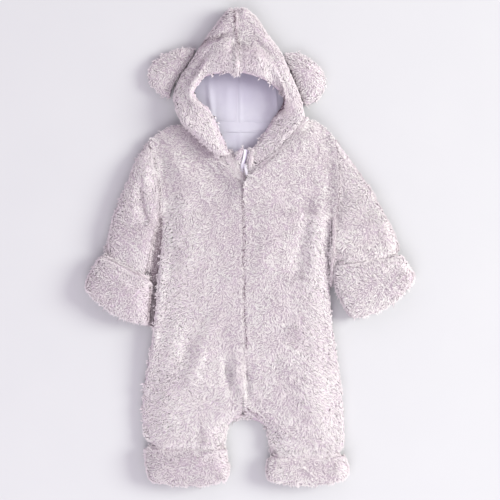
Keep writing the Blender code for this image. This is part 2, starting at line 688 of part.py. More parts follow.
BACK_LINING_EDGES = table(
    "outer_x outer_y inner_x inner_y",
    (-78, 167, 60, 167.5),
    (-66, 156, 50, 156),
    (-50, 140, 38, 140),
    (-32, 124, 22, 124),
    (-20, 112, 4, 112),
)
EAR_RIGHT_EDGES = table(
    "outer_x outer_y inner_x inner_y",
    (-74, 290, -80.4, 273.5),
    (-93, 289, -87.4, 265),
    (-113, 285, -94.4, 254),
    (-132, 275, -101.4, 245),
    (-146, 261, -106.4, 238),
    (-149, 246, -109.4, 231),
    (-143, 230, -111.9, 225),
    (-129, 218, -113.4, 219),
    (-116, 212.5, -112.9, 214.5),
)
EAR_LEFT_EDGES = table(
    "outer_x outer_y inner_x inner_y",
    (48, 281.5, 49.6, 272),
    (62, 283, 55.6, 262),
    (78, 280, 60.6, 250),
    (94, 270, 64.6, 241),
    (107, 256, 68.6, 232),
    (112, 240, 71.6, 223),
    (109, 224, 74.6, 216),
    (98, 210, 76.6, 209),
    (85, 203, 78.1, 204),
)
EAR_CLOTH = 8.0
EAR_CROWN = 4.0
EAR_CROWN_REACH = SimpleNamespace(outer=22, inner=14, start=16, end=16)
EAR_FRONT_ROUNDING = SimpleNamespace(outer=9, inner=4, start=7, end=7)
EAR_BACK_ROUNDING = SimpleNamespace(outer=6, start=5, end=5)
ZIP_GUARD_EDGES = table(
    "outer_x outer_y inner_x inner_y",
    (-18.5, 137, -7.5, 146),
    (-20.5, 130, -8.0, 137),
    (-22.3, 120, -10.6, 126),
    (-23.2, 112, -13.0, 116),
    (-19.8, 104, -14.4, 107),
)
GUARD = SimpleNamespace(low=14.0, high=23.0, foot=104.0, length=32.0, cloth=7.5)
GUARD_ROUNDING = SimpleNamespace(outer=3, inner=3, start=5, end=4)
ZIP_TAPE_EDGES = table(
    "outer_x outer_y inner_x inner_y right_z left_x left_y left_far_x left_far_y left_z",
    (-7.5, 139.5, -3.6, 138.5, 25.6, -0.4, 139, 1.6, 138.5, 25),
    (-9.4, 128, -5.4, 127, 25.0, -1.6, 128, 1.0, 127, 24.6),
    (-12.1, 117, -8.6, 116, 23.7, -3.6, 117, -0.4, 116, 23.7),
    (-13.8, 106, -9.4, 106, 21.4, -6.6, 106, -2.6, 106, 21),
)
SLIDER = SimpleNamespace(x=-6.2, y=115.0, z=26.6, width=4.4, length=8.5, height=2.2, turn=0.2)
PULL = SimpleNamespace(width=3.4, length=13.0, height=1.1, eye=1.35, eye_width=1.7, hole=0.9)
LUG = SimpleNamespace(gap=2.4, width=0.9, height=2.5, length=2.4)
PULL_NECK = 0.6  # how far the pull's neck reaches past the lugs, and into the blade
NECK_GAP = 0.9  # from the hinge to where the pull's neck starts
AXIS_RISE = 1.8  # of the hinge above the slider's plate
LUG_SUNK = 0.2  # into the plate
PLATE_SHIFT = 0.5  # of the slider's plate behind its hinge
BEVEL = SimpleNamespace(plate=0.7, lug=0.25, blade=0.35)
TAPE_ROWS = 9
TAPE_COLUMNS = 3


def make_back_lining(home, jersey):
    panel(
        "back_lining",
        BACK_LINING_EDGES,
        8,
        6,
        lambda x, y, near: np.full(x.shape, UNDER_CLOTH + SEAM),
        lambda x, y, near, low: low + LINING,
        jersey,
        home,
        steps=(0.0, 6.0),
    )


def make_ears(home, fleece):
    for side, edges in (("right", EAR_RIGHT_EDGES), ("left", EAR_LEFT_EDGES)):
        def front_low(x, y, near):
            return EAR_CLOTH + SEAM + 0 * x

        def front_high(x, y, near, low):
            cloth = EAR_CLOTH * (THIN_EDGE + (1 - THIN_EDGE) * rounding(near, EAR_FRONT_ROUNDING))
            bulge = EAR_CROWN
            for edge, reach in vars(EAR_CROWN_REACH).items():
                bulge = bulge * smooth(getattr(near, edge) / reach)
            return low + cloth + bulge

        def back_low(x, y, near):
            return EDGE_RISE * (1 - rounding(near, EAR_BACK_ROUNDING))

        def back_high(x, y, near, low):
            return EAR_CLOTH + 0 * x

        steps = (0.0, 2.0, 6.0)
        panel(f"ear_front_{side}", edges, 9, 12, front_low, front_high, fleece, home, steps=steps)
        panel(f"ear_back_{side}", edges, 8, 9, back_low, back_high, fleece, home, steps=steps)


def make_zip_guard(home, fleece):
    def under(x, y, near):
        return GUARD.low + (GUARD.high - GUARD.low) * smooth((y - GUARD.foot) / GUARD.length)

    def top(x, y, near, low):
        return low + GUARD.cloth * (THIN_EDGE + (1 - THIN_EDGE) * rounding(near, GUARD_ROUNDING))

    panel("zip_guard", ZIP_GUARD_EDGES, 7, 10, under, top, fleece, home, steps=(0.0, 1.2, 3.0))


def make_zip_tapes(home, tape):
    t = ZIP_TAPE_EDGES
    for side, a, b, z in (
        ("right", pair(t.outer_x, t.outer_y), pair(t.inner_x, t.inner_y), t.right_z),
        ("left", pair(t.left_x, t.left_y), pair(t.left_far_x, t.left_far_y), t.left_z),
    ):
        at = np.linspace(0, len(a) - 1, TAPE_ROWS)
        near, far, height = through(a, at), through(b, at), through(z[:, None], at)
        share = np.linspace(0, 1, TAPE_COLUMNS)[None, :, None]
        flat = near[:, None] * (1 - share) + far[:, None] * share
        top = np.concatenate([flat, np.repeat(height[:, None], TAPE_COLUMNS, 1)], 2)
        wall(f"zip_tape_{side}", top, top - np.array([0, 0, TAPE]), tape, home)


def box(size, centre, bevel=0.0):
    """A bmesh box in millimetres."""
    bm = bmesh.new()
    bmesh.ops.create_cube(bm, size=1.0)
    bmesh.ops.scale(bm, vec=size, verts=bm.verts)
    if bevel:
        bmesh.ops.bevel(bm, geom=bm.edges, offset=bevel, segments=2, affect="EDGES", profile=0.5)
    bmesh.ops.translate(bm, vec=centre, verts=bm.verts)
    return bm


def rod(radius, length, centre, sides=16):
    """A bmesh cylinder along X, in millimetres."""
    bm = bmesh.new()
    bmesh.ops.create_cone(bm, cap_ends=True, segments=sides, radius1=radius, radius2=radius, depth=length)
    quarter = ((0, 0, 1), (0, 1, 0), (-1, 0, 0))
    for v in bm.verts:
        v.co = [sum(row[k] * v.co[k] for k in range(3)) for row in quarter]
    bmesh.ops.translate(bm, vec=centre, verts=bm.verts)
    return bm


def placed(name, bm, finish, home):
    """The object of a bmesh that is drawn about the hinge, turned and moved to the slider."""
    bmesh.ops.scale(bm, vec=(MM, MM, MM), verts=bm.verts)
    bmesh.ops.recalc_face_normals(bm, faces=bm.faces)
    mesh = bpy.data.meshes.new(name)
    bm.to_mesh(mesh)
    bm.free()
    ob = add_object(name, mesh, finish, home)
    ob.rotation_euler = (0, 0, SLIDER.turn)
    ob.location = (SLIDER.x * MM, SLIDER.y * MM, (SLIDER.z + AXIS_RISE) * MM)
    return ob


def combine(ob, other, operation):
    change = ob.modifiers.new(operation.lower(), "BOOLEAN")
    change.operation = operation
    change.object = other
    other.hide_render = True
    other.display_type = "WIRE"


def make_zip_metal(home, cutters, metal):
    plate_z = -AXIS_RISE - SLIDER.height / 2
    body = box((SLIDER.width, SLIDER.length, SLIDER.height), (0, -PLATE_SHIFT, plate_z), BEVEL.plate)
    slider = placed("zip_slider", body, metal, home)
    lug_z = LUG.height / 2 - AXIS_RISE - LUG_SUNK
    for k, sign in enumerate((-1, 1)):
        x = sign * (LUG.gap + LUG.width) / 2
        lug = box((LUG.width, LUG.length, LUG.height), (x, 0, lug_z), BEVEL.lug)
        combine(slider, placed(f"lug_{k}", lug, metal, cutters), "UNION")
    pin = rod(HINGE_PIN, LUG.gap + LUG.width, (0, 0, 0))
    combine(slider, placed("pin", pin, metal, cutters), "UNION")
    arm = LUG.length / 2 + PULL_NECK
    neck_length = arm + PULL_NECK
    eye = rod(PULL.eye, PULL.eye_width, (0, 0, 0), 20)
    pull = placed("zip_pull", eye, metal, home)
    neck = box((PULL.eye_width, neck_length, PULL.height), (0, -neck_length / 2 - NECK_GAP, 0))
    combine(pull, placed("pull_neck", neck, metal, cutters), "UNION")
    blade_length = PULL.length - arm - NECK_GAP
    blade_y = -arm - NECK_GAP - blade_length / 2
    blade = box((PULL.width, blade_length, PULL.height), (0, blade_y, 0), BEVEL.blade)
    combine(pull, placed("pull_blade", blade, metal, cutters), "UNION")
    hole = rod(PULL.hole, PULL.eye_width + 1, (0, 0, 0), 20)
    combine(pull, placed("pull_hole", hole, metal, cutters), "DIFFERENCE")


def main():
    for ob in list(bpy.data.objects):
        bpy.data.objects.remove(ob, do_unlink=True)
    home = bpy.data.collections.new("hooded_romper")
    cutters = bpy.data.collections.new("cutters")
    for collection in (home, cutters):
        bpy.context.scene.collection.children.link(collection)
    fleece = material("curly_fleece", FLEECE)
    jersey = material("jersey_lining", JERSEY)
    tape = material("zip_tape", WHITE_TAPE, 0.7)
    metal = material("white_lacquered_metal", WHITE_METAL, 0.35, 0.2)
    make_body(home, fleece)
    make_sleeves(home, fleece)
    make_hood(home, fleece, jersey)
    make_back_lining(home, jersey)
    make_ears(home, fleece)
    make_zip_guard(home, fleece)
    make_zip_tapes(home, tape)
    make_zip_metal(home, cutters, metal)


main()
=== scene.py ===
"""Looks of a hooded romper in curly fleece, laid flat on its back, seen from straight above.

Lengths in the tables and in the surface functions are in millimetres. X runs to the wearer's left, Y to the
top of the hood, and Z up from the floor.

Each piece of cloth is two grids of points, rows by columns: its outer skin and its inner skin. A third grid,
the tips, is where its pile ends. A lock of pile grows from a place on the outer skin towards the same place
on the tips.
"""

from functools import partial
from types import SimpleNamespace

import bpy
import numpy as np
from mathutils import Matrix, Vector


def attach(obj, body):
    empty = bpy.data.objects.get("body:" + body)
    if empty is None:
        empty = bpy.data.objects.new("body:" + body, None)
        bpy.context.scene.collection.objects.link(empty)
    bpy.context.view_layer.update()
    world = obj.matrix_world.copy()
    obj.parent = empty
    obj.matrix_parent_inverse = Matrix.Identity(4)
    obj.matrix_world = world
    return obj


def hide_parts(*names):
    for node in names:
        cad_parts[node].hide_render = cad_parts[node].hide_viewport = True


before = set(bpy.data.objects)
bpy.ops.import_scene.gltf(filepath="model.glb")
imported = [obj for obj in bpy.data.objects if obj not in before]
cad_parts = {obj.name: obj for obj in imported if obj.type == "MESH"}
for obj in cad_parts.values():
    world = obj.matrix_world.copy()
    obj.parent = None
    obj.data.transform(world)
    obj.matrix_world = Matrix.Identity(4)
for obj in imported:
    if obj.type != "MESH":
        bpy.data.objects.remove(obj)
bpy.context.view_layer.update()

MM = 0.001
# Driving sizes, in millimetres
CLOTH = 8.3  # fleece with its pile and lining
UNDER_CLOTH = 8.5  # the same in the back, which is flat
CUFF_CLOTH = 8.0
TUCKED_CLOTH = 6.0  # pressed by the cuff around it
LINING = 1.2
SEAM = 0.3  # what parts two pieces at a seam
PUFF = 8.5  # how far the front stands off the back
PUFF_REACH = 40.0  # from a side seam to where it is that high
INSEAM_REACH = 30.0
ZIP_X = -9.0
FOLD_FADE = 0.3  # the share of a fold's length over which it starts and ends
FOLD_END = 0.4  # the share of its height that is left at its ends
ROUND_OUTSIDE = 0.65  # power of a sleeve's outline in a cut across it: 1 is an ellipse, 0 a box
ROUND_INSIDE = 0.4
SLEEVE_SUNK = 0.12  # the share of a sleeve's height by which its underside is cut flat


def table(columns, *rows):
    """The rows as arrays, one for each named column."""
    values = np.array(rows, float).T
    return SimpleNamespace(**dict(zip(columns.split(), values, strict=True)))


def pair(x, y):
    return np.stack([x, y], -1)


def smooth(t):
    t = np.clip(t, 0.0, 1.0)
    return t * t * (3.0 - 2.0 * t)


def rounded(distance, radius):
    """0 at an edge and 1 from a radius inside it, along a quarter circle."""
    return np.sqrt(1.0 - (1.0 - np.clip(distance / radius, 0.0, 1.0)) ** 2)


def beside(gap, reach):
    """1 up to the first distance and 0 from the second."""
    full, none = reach
    return smooth((none - gap) / (none - full))


def rounding(near, radii):
    """1 inside the outline, falling to 0 at it: each edge has its own radius."""
    share = 1.0
    for edge, radius in vars(radii).items():
        share = share * rounded(getattr(near, edge), radius)
    return share


def through(points, at):
    """Places on the smooth curve through the points. `at` counts the points from 0, in whole or part."""
    p = np.vstack([2 * points[:1] - points[1:2], points, 2 * points[-1:] - points[-2:-1]])
    first = np.clip(np.floor(at).astype(int), 0, len(points) - 2)
    f = (at - first)[:, None]
    a, b, c, d = (p[first + k] for k in range(4))
    return 0.5 * (2 * b + (c - a) * f + (2 * a - 5 * b + 4 * c - d) * f**2 + (3 * b - a - 3 * c + d) * f**3)


def from_edges(length, count, steps):
    """`count` distances from 0 to each length, closer near both ends."""
    length = np.atleast_1d(length)[:, None]
    even = np.linspace(0.0, 1.0, count)[None, :] * length
    near = np.minimum(np.array(steps)[None, :], even[:, : len(steps)])
    inner = count - 2 * len(steps)
    start = near[:, -1:]
    middle = start + (length - 2 * start) * (np.arange(1, inner + 1) / (inner + 1))[None, :]
    return np.hstack([near, middle, length - near[:, ::-1]])


def unit(ways, least=0.0):
    """The directions made 1 long, or shorter where their length is under the least."""
    return ways / np.maximum(np.linalg.norm(ways, axis=-1), least)[..., None]


def run_along(points):
    """How far along a line each of its points is."""
    return np.concatenate([[0], np.cumsum(np.linalg.norm(np.diff(points, axis=0), axis=1))])


def bow_row(start, end, bow, count):
    """Places across a straight row that is bowed sideways, by this much in the middle."""
    t = np.linspace(0.0, 1.0, count)[:, None]
    along = (end - start) / np.linalg.norm(end - start)
    return start + (end - start) * t + np.array([-along[1], along[0]]) * bow * 4 * t * (1 - t)


def to_line(x, y, line):
    """The distance from each place to a line of (x, y) points, and how far along it that is, from 0 to 1."""
    line = np.array(line, float)
    best = np.full(np.shape(x), np.inf)
    along = np.zeros(np.shape(x))
    for k, (a, b) in enumerate(zip(line[:-1], line[1:], strict=True)):
        run = b - a
        t = np.clip(((x - a[0]) * run[0] + (y - a[1]) * run[1]) / (run @ run), 0.0, 1.0)
        gap = np.hypot(x - a[0] - run[0] * t, y - a[1] - run[1] * t)
        along = np.where(gap < best, (k + t) / (len(line) - 1), along)
        best = np.minimum(best, gap)
    return best, along


def relief(folds, x, y):
    """The height that the ridges add to a surface and the troughs take from it.

    A fold is its height, half its width, and the points of its line. A cut across it is a bell curve.
    """
    total = np.zeros(np.shape(x))
    for height, width, *line in folds:
        gap, along = to_line(x, y, line)
        ends = smooth(along / FOLD_FADE) * smooth((1 - along) / FOLD_FADE)
        total += height * (FOLD_END + (1 - FOLD_END) * ends) * np.exp(-((gap / width) ** 2))
    return total


ARMHOLE_RIGHT = SimpleNamespace(start=np.array([-146.0, 152.0]), end=np.array([-128.0, 41.0]), bow=7.0)
ARMHOLE_LEFT = SimpleNamespace(start=np.array([123.0, 157.0]), end=np.array([122.0, 30.0]), bow=7.0)
ARMHOLE_ROWS = 6


def side_edge(armhole, rest):
    """The outer edge of a front or a back: the armhole, and then the side seam down to the hem."""
    return np.vstack([bow_row(armhole.start, armhole.end, armhole.bow, ARMHOLE_ROWS), rest])


SIDE_RIGHT = side_edge(
    ARMHOLE_RIGHT,
    [
        (-128.5, 18), (-130, -5), (-135, -46), (-138, -80), (-142, -118), (-147, -156), (-153, -188),
        (-157.5, -220), (-158, -240), (-157, -255), (-155, -268), (-152, -279), (-137, -288), (-134, -331),
    ],
)  # fmt: skip
SIDE_LEFT = side_edge(
    ARMHOLE_LEFT,
    [
        (119, 10), (117, -10), (116.5, -46), (119, -80), (122, -114), (127, -147), (132, -180),
        (136.5, -215), (138.5, -240), (140, -262), (139.5, -280), (137, -291), (126.5, -299), (126, -331),
    ],
)  # fmt: skip
FRONT_ZIP = (40, -10, -65, -120, -175, -236)  # where the points of the straight edges lie along Y
BACK_SEAM = (170, 140, 96, 60, 20, -10, -60, -110, -150, -190, -225, -248)


def straight(x, places):
    """The points of an edge that runs straight down the garment."""
    return [(x, y) for y in places]


FRONT_RIGHT_INNER = table(
    "x y",
    (-97, 177), (-80, 159), (-63, 144), (-46, 131), (-29, 121), (-22.5, 109),
    (-16, 97), (-9.5, 84), *straight(-9.3, FRONT_ZIP),
    (-16, -246), (-27, -252), (-32.5, -264), (-34, -273), (-44, -289), (-45, -331),
)  # fmt: skip
FRONT_LEFT_INNER = table(
    "x y",
    (83, 184), (70, 164), (50, 141), (28, 122), (9, 108), (-1, 102),
    (-5, 95), (-8.6, 84), *straight(-8.7, FRONT_ZIP),
    (-1, -244), (13, -249), (24, -262), (28, -284), (40, -299), (41, -331),
)  # fmt: skip
BACK_RIGHT_INNER = table(
    "x y",
    (-97, 174), (-72, 168), (-42, 169), *straight(-9.2, BACK_SEAM),
    (-25, -254), (-32.5, -265), (-34, -274), (-44, -289), (-45, -331),
)  # fmt: skip
BACK_LEFT_INNER = table(
    "x y",
    (84, 180), (62, 169), (34, 168), *straight(-8.8, BACK_SEAM),
    (10, -252), (24, -263), (28, -284), (40, -299), (41, -331),
)  # fmt: skip
NECK_V = ((-88, 172), (-20, 118), (60, 176))
# Distances from a line over the neck up to which something is whole, and from which it is gone
NECK_LINING_ROOM = (26.4, 48.4)
NECK_PRESS = (20.4, 54.4)  # the hood's weight
COLLAR_REACH = (11.0, 55.0)
COLLAR_START = 12.0  # from the shoulder
SHOULDER_REACH = 30.0  # from the shoulder to where the front is free of it
CROTCH_EASE = 8.0
FRONT_ROUNDING = SimpleNamespace(outer=9, inner=4, start=8, end=3)
BACK_ROUNDING = SimpleNamespace(outer=5, end=4)
THIN_EDGE = 0.25  # the share of the cloth's thickness that its edge has
SHOULDER_BOW = 7.0
CUFF_TOP_RIGHT = -286.0  # where the leg is wholly inside its cuff
CUFF_TOP_LEFT = -297.0
TUCK_REACH = 22.0
EDGE_RISE = 3.5  # of the underside at an outer edge
SLOPE_EASE = 1.2  # parts the two layers where they climb into the cuff
CROTCH_Y = -238.0
RIGHT_FOLDS = (
    (-4, 9, (-60, -100), (-85, -118)),
    (-5, 7, (-24, -160), (-27, -190), (-21, -218)),
    (-3, 7, (-40, -115), (-39, -128)),
    (3, 16, (-100, -8), (-75, -14)),
    (-3, 14, (-72, 66), (-66, 50)),
    (5, 8, (-118, 115), (-117, 86), (-119, 68)),
    (2.5, 18, (-128, -90), (-128, -190)),
    (3, 22, (-70, -170), (-95, -215)),
    (-2.5, 5, (-100, -219), (-48, -220)),
)
LEFT_FOLDS = (
    (-6, 13, (92, 84), (78, 18), (70, -18), (62, -42)),
    (5, 13, (106, 92), (101, -20), (108, -140)),
    (-4, 8, (56, -132), (90, -150)),
    (-2.5, 5, (-3, -176), (-3, -192)),
    (-4, 6, (6, -222), (16, -240)),
    (2.5, 22, (40, 60), (30, 10), (22, -60)),
    (3, 24, (80, -190), (88, -250)),
)


def tuck_of(y, cuff_top):
    """0 on the free leg and 1 inside its cuff."""
    return smooth((cuff_top + TUCK_REACH - y) / TUCK_REACH)


def floor_of(y, cuff_top):
    """The underside of the leg: on the surface, or on the cuff's own wall."""
    return tuck_of(y, cuff_top) * (CUFF_CLOTH + SEAM)


def under_cloth(y, cuff_top):
    return UNDER_CLOTH + (TUCKED_CLOTH - UNDER_CLOTH) * tuck_of(y, cuff_top)


def neck_lining_room(x, y):
    """Room for the back's lining under the front, all along the neck."""
    gap, _ = to_line(x, y, NECK_V)
    return (LINING + SEAM) * beside(gap, NECK_LINING_ROOM)


def front_lift(x, y, near, side):
    """How far the front stands off the back."""
    tuck = tuck_of(y, side.cuff_top)
    leg = smooth((CROTCH_Y + CROTCH_EASE - y) / (2 * CROTCH_EASE))
    held = smooth(near.outer / PUFF_REACH) * (1 - leg * (1 - smooth(near.inner / INSEAM_REACH)))
    held = held * smooth(near.start / SHOULDER_REACH) * (1 - tuck)
    neck_gap, _ = to_line(x, y, side.neckline)
    lift = PUFF * (1 - beside(neck_gap, NECK_PRESS) * side.pressed) + relief(side.folds, x, y)
    raised = side.collar * beside(neck_gap, COLLAR_REACH) * smooth(near.start / COLLAR_START)
    return np.maximum(lift, 0) * held + raised + neck_lining_room(x, y)


def front_under(x, y, near, side):
    tuck = tuck_of(y, side.cuff_top)
    floor = floor_of(y, side.cuff_top) + under_cloth(y, side.cuff_top) + SEAM
    return floor + front_lift(x, y, near, side) + SLOPE_EASE * 4 * tuck * (1 - tuck)


def front_top(x, y, near, low, side):
    cloth = CLOTH + (TUCKED_CLOTH - CLOTH) * tuck_of(y, side.cuff_top)
    return low + cloth * (THIN_EDGE + (1 - THIN_EDGE) * rounding(near, FRONT_ROUNDING))


def back_under(x, y, near, side):
    return floor_of(y, side.cuff_top) + EDGE_RISE * (1 - rounding(near, BACK_ROUNDING))


def back_top(x, y, near, low, side):
    return floor_of(y, side.cuff_top) + under_cloth(y, side.cuff_top)


RIGHT = SimpleNamespace(
    name="right",
    armhole=ARMHOLE_RIGHT,
    outer=SIDE_RIGHT,
    front_inner=FRONT_RIGHT_INNER,
    back_inner=BACK_RIGHT_INNER,
    cuff_top=CUFF_TOP_RIGHT,
    folds=RIGHT_FOLDS,
    neckline=((-96, 177), (-63, 144), (-29, 121)),
    pressed=1.0,  # the hood lies on it
    collar=0.0,
)
LEFT = SimpleNamespace(
    name="left",
    armhole=ARMHOLE_LEFT,
    outer=SIDE_LEFT,
    front_inner=FRONT_LEFT_INNER,
    back_inner=BACK_LEFT_INNER,
    cuff_top=CUFF_TOP_LEFT,
    folds=LEFT_FOLDS,
    neckline=((84, 186), (50, 141), (9, 108)),
    pressed=0.0,
    collar=8.0,  # it stands up to the hood's edge
)


def body_edges(outer, inner):
    bow = np.zeros(len(outer))
    bow[0] = SHOULDER_BOW
    bow[1] = SHOULDER_BOW / 3
    sign = np.sign(outer[0, 0])
    return SimpleNamespace(
        outer_x=outer[:, 0],
        outer_y=outer[:, 1],
        inner_x=inner.x,
        inner_y=inner.y,
        bow=bow,
        limit=lambda x: ZIP_X + sign * np.maximum(sign * (x - ZIP_X), SEAM / 2),
    )


SLEEVE_COLUMNS = "outer_x outer_y inner_x inner_y bow low high cloth"
SLEEVE_RIGHT = table(
    SLEEVE_COLUMNS,
    (-147.2, 151.4, -129.2, 41.0, 6.6, 1.5, 20, 6.5),
    (-150, 147, -129.5, 38, 5.5, 0, 23, 8),
    (-166, 120, -132.5, 28, 2, 0, 27.5, 8),
    (-184, 78, -137, 10, 0, 0, 28.5, 8),
    (-197, 42, -141.5, -12, -1, 0, 28, 8),
    (-203, 13, -145, -30, -1, 2, 27, 7),
    (-202, -5, -152, -43, -2, 8.7, 23.6, 5.2),
    (-208, -28, -155, -62, -4, 8.7, 23.6, 5),
    (-222, -57, -156, -98, -8, 8.7, 23.6, 5),
)
SLEEVE_CUFF_RIGHT = table(
    SLEEVE_COLUMNS,
    (-211, -13, -142, -49, 0, 3, 30, 4),
    (-216, -15, -139.5, -55, -0.5, 0, 33.5, 8),
    (-227, -32, -141, -74, -2, 0, 34, 8),
    (-236, -51, -143, -99, -6, 0, 33, 8),
    (-236, -60, -144.5, -111, -9, 0, 30, 7),
    (-231, -62, -149, -112, -11, 3, 26, 4),
)
SLEEVE_LEFT = table(
    SLEEVE_COLUMNS,
    (124.4, 156.4, 123.4, 30.0, 7.8, 1.5, 20, 6.5),
    (129, 150, 123, 26, 6.5, 0, 23, 8),
    (151, 121, 122, 14, 4, 0, 27.5, 8),
    (176, 84, 121, 5, 2, 0, 28.5, 8),
    (198, 44, 120.5, -3, 1, 0, 28, 8),
    (210, 13, 122, -8, 0, 2, 27, 7),
    (211, -4, 133, -20, 0, 8.7, 23.6, 5.2),
    (213, -22, 139, -47, 3, 8.7, 23.6, 5),
    (222, -45, 155, -88, 7, 8.7, 23.6, 5),
)
SLEEVE_CUFF_LEFT = table(
    SLEEVE_COLUMNS,
    (216, -13, 124, -26, 0, 3, 30, 4),
    (221, -14, 121, -32, 1, 0, 33.5, 8),
    (231, -28, 122.5, -60, 3, 0, 34, 8),
    (237.5, -40, 137, -91, 7, 0, 33, 8),
    (236.5, -49, 146, -102, 10, 0, 30, 7),
    (231, -54, 151, -102, 12, 3, 26, 4),
)
LEG_CUFF_RIGHT = table(
    SLEEVE_COLUMNS,
    (-149, -290, -35, -291, 0, 3, 26, 4),
    (-152.5, -293, -31.5, -294, 0, 0, 30, 8),
    (-151, -311, -29.5, -311, 0, 0, 31, 8),
    (-148.5, -327, -28, -324, -4, 0, 30, 8),
    (-144, -336, -31, -334, -7, 0, 27, 7),
    (-139, -337, -37, -336, -8, 3, 24, 4),
)
LEG_CUFF_LEFT = table(
    SLEEVE_COLUMNS,
    (31, -302, 135, -301, 0, 3, 26, 4),
    (26.5, -305, 139.5, -304, 0, 0, 30, 8),
    (23.5, -315, 143.5, -315, 0, 0, 31, 8),
    (22.5, -327, 144, -326, -4, 0, 30, 8),
    (26, -335, 139, -334, -7, 0, 27, 7),
    (31, -336, 134, -335, -8, 3, 24, 4),
)
SLEEVE_FOLDS = (
    (-4, 6, (-155, 92), (-156, 66), (-146, 38)),
    (3, 7, (-150, 120), (-142, 80)),
    (-3, 8, (146, 92), (132, 60), (126, 26)),
    (2, 16, (182, 60), (166, 10)),
)
# The root is the neck seam, the fold the hood's outline, and the edge the centre seam and then the rim of
# the face opening. `low` and `high` are the middle of the cloth below and above the fold, `lip` at the edge.
# `brow` is the share of the way from the fold to the edge at which the cloth steps up over the forehead.
HOOD_COLUMNS = "root_x root_y fold_x fold_y edge_x edge_y low high lip brow cloth"
HOOD_RIGHT = table(
    HOOD_COLUMNS,
    (-18.3, 171.3, -20.0, 341, -18.3, 244, 4.5, 25, 40, 0.42, 9),
    (-25, 171.7, -28, 344, -27, 243.5, 4.5, 26, 40, 0.42, 9),
    (-36, 172.1, -40, 331, -40, 243, 4.5, 26, 40, 0.30, 9),
    (-47, 172.3, -54, 313, -54, 241.5, 4.5, 26, 40, 0.16, 9),
    (-59, 172.4, -72, 288, -66, 237, 4.5, 27, 40, 0.02, 9),
    (-70, 173.3, -89, 261, -73, 227, 4.5, 29, 40, 0.0, 9),
    (-79, 177.5, -103, 240, -77, 215, 4.5, 31, 39, 0.0, 9),
    (-88, 184, -110, 218, -67, 205, 4.5, 32, 39, 0.0, 9),
    (-93, 186, -108, 198, -55, 197, 6.0, 34, 39, 0.0, 9),
    (-84, 172, -97.5, 174.5, -46, 183, 23.5, 37, 39, 0.0, 8.5),
    (-68, 155, -78.5, 155.5, -38, 164, 24, 37, 39, 0.0, 8.5),
    (-50, 140, -58.5, 136.5, -30, 146, 24, 36, 37, 0.0, 8),
    (-34, 127, -41.5, 121.5, -23.5, 130, 23.5, 33, 33, 0.0, 6.5),
)
HOOD_LEFT = table(
    HOOD_COLUMNS,
    (-17.7, 171.3, -17.2, 341, -17.7, 244, 4.5, 25, 40, 0.42, 9),
    (-8, 171.5, -9, 345, -7, 243, 4.5, 26, 40, 0.42, 9),
    (4, 171.8, 2.5, 338, 9, 239, 4.5, 26, 40, 0.34, 9),
    (16, 172.2, 15, 324, 24, 233, 4.5, 26, 40, 0.22, 9),
    (28, 173.2, 29.5, 303, 37, 225, 4.5, 27, 40, 0.08, 9),
    (40, 174.1, 46, 281, 46, 215, 4.5, 28, 39, 0.0, 9),
    (52, 175.2, 60, 251, 51, 205, 4.5, 30, 38, 0.0, 9),
    (62, 178.5, 73, 222, 43, 195, 4.5, 31, 37, 0.0, 9),
    (68, 184, 78, 202, 31, 182, 4.8, 31, 36, 0.0, 9),
    (68, 180, 80.5, 182.5, 25, 174, 17, 31.5, 35, 0.0, 8),
    (58, 162, 66.5, 161, 17, 163, 16, 31, 34, 0.0, 8),
    (40, 144, 47.5, 140, 10, 153, 16, 30, 32, 0.0, 7.5),
    (22, 128, 27.5, 122, 5, 146, 16, 27.5, 28, 0.0, 6.5),
    (6, 118, 7.5, 110.5, 2.2, 141, 16, 25.5, 26, 0.0, 6),
)
HOOD_ROWS = 20
LINED_ROWS = 12  # of the hood's rows, from the centre seam
LINING_SLACK = 0.8  # more room between hood and lining, round the fold and in front
FOLD_FLATNESS = 0.85
BROW_RUN = 0.22
HOOD_CROWN = 3.0
FULL_CLOTH = 8.9  # where the hood's cloth is at least this thick, its front is crowned
FRONT_EDGE = 0.35  # the share of the outer half of the cloth that is left at the rim
FOLD_BESIDE = 0.3  # of a row: the outline's direction is taken from this far before to this far after
SEAM_ROWS = 2.0  # over which the way out turns from the centre seam's to the outline's
BACK_LINING_EDGES = table(
    "outer_x outer_y inner_x inner_y",
    (-78, 167, 60, 167.5),
    (-66, 156, 50, 156),
    (-50, 140, 38, 140),
    (-32, 124, 22, 124),
    (-20, 112, 4, 112),
)
EAR_RIGHT_EDGES = table(
    "outer_x outer_y inner_x inner_y",
    (-74, 290, -80.4, 273.5),
    (-93, 289, -87.4, 265),
    (-113, 285, -94.4, 254),
    (-132, 275, -101.4, 245),
    (-146, 261, -106.4, 238),
    (-149, 246, -109.4, 231),
    (-143, 230, -111.9, 225),
    (-129, 218, -113.4, 219),
    (-116, 212.5, -112.9, 214.5),
)
EAR_LEFT_EDGES = table(
    "outer_x outer_y inner_x inner_y",
    (48, 281.5, 49.6, 272),
    (62, 283, 55.6, 262),
    (78, 280, 60.6, 250),
    (94, 270, 64.6, 241),
    (107, 256, 68.6, 232),
    (112, 240, 71.6, 223),
    (109, 224, 74.6, 216),
    (98, 210, 76.6, 209),
    (85, 203, 78.1, 204),
)
EAR_CLOTH = 8.0
EAR_CROWN = 4.0
EAR_CROWN_REACH = SimpleNamespace(outer=22, inner=14, start=16, end=16)
EAR_FRONT_ROUNDING = SimpleNamespace(outer=9, inner=4, start=7, end=7)
EAR_BACK_ROUNDING = SimpleNamespace(outer=6, start=5, end=5)
ZIP_GUARD_EDGES = table(
    "outer_x outer_y inner_x inner_y",
    (-18.5, 137, -7.5, 146),
    (-20.5, 130, -8.0, 137),
    (-22.3, 120, -10.6, 126),
    (-23.2, 112, -13.0, 116),
    (-19.8, 104, -14.4, 107),
)
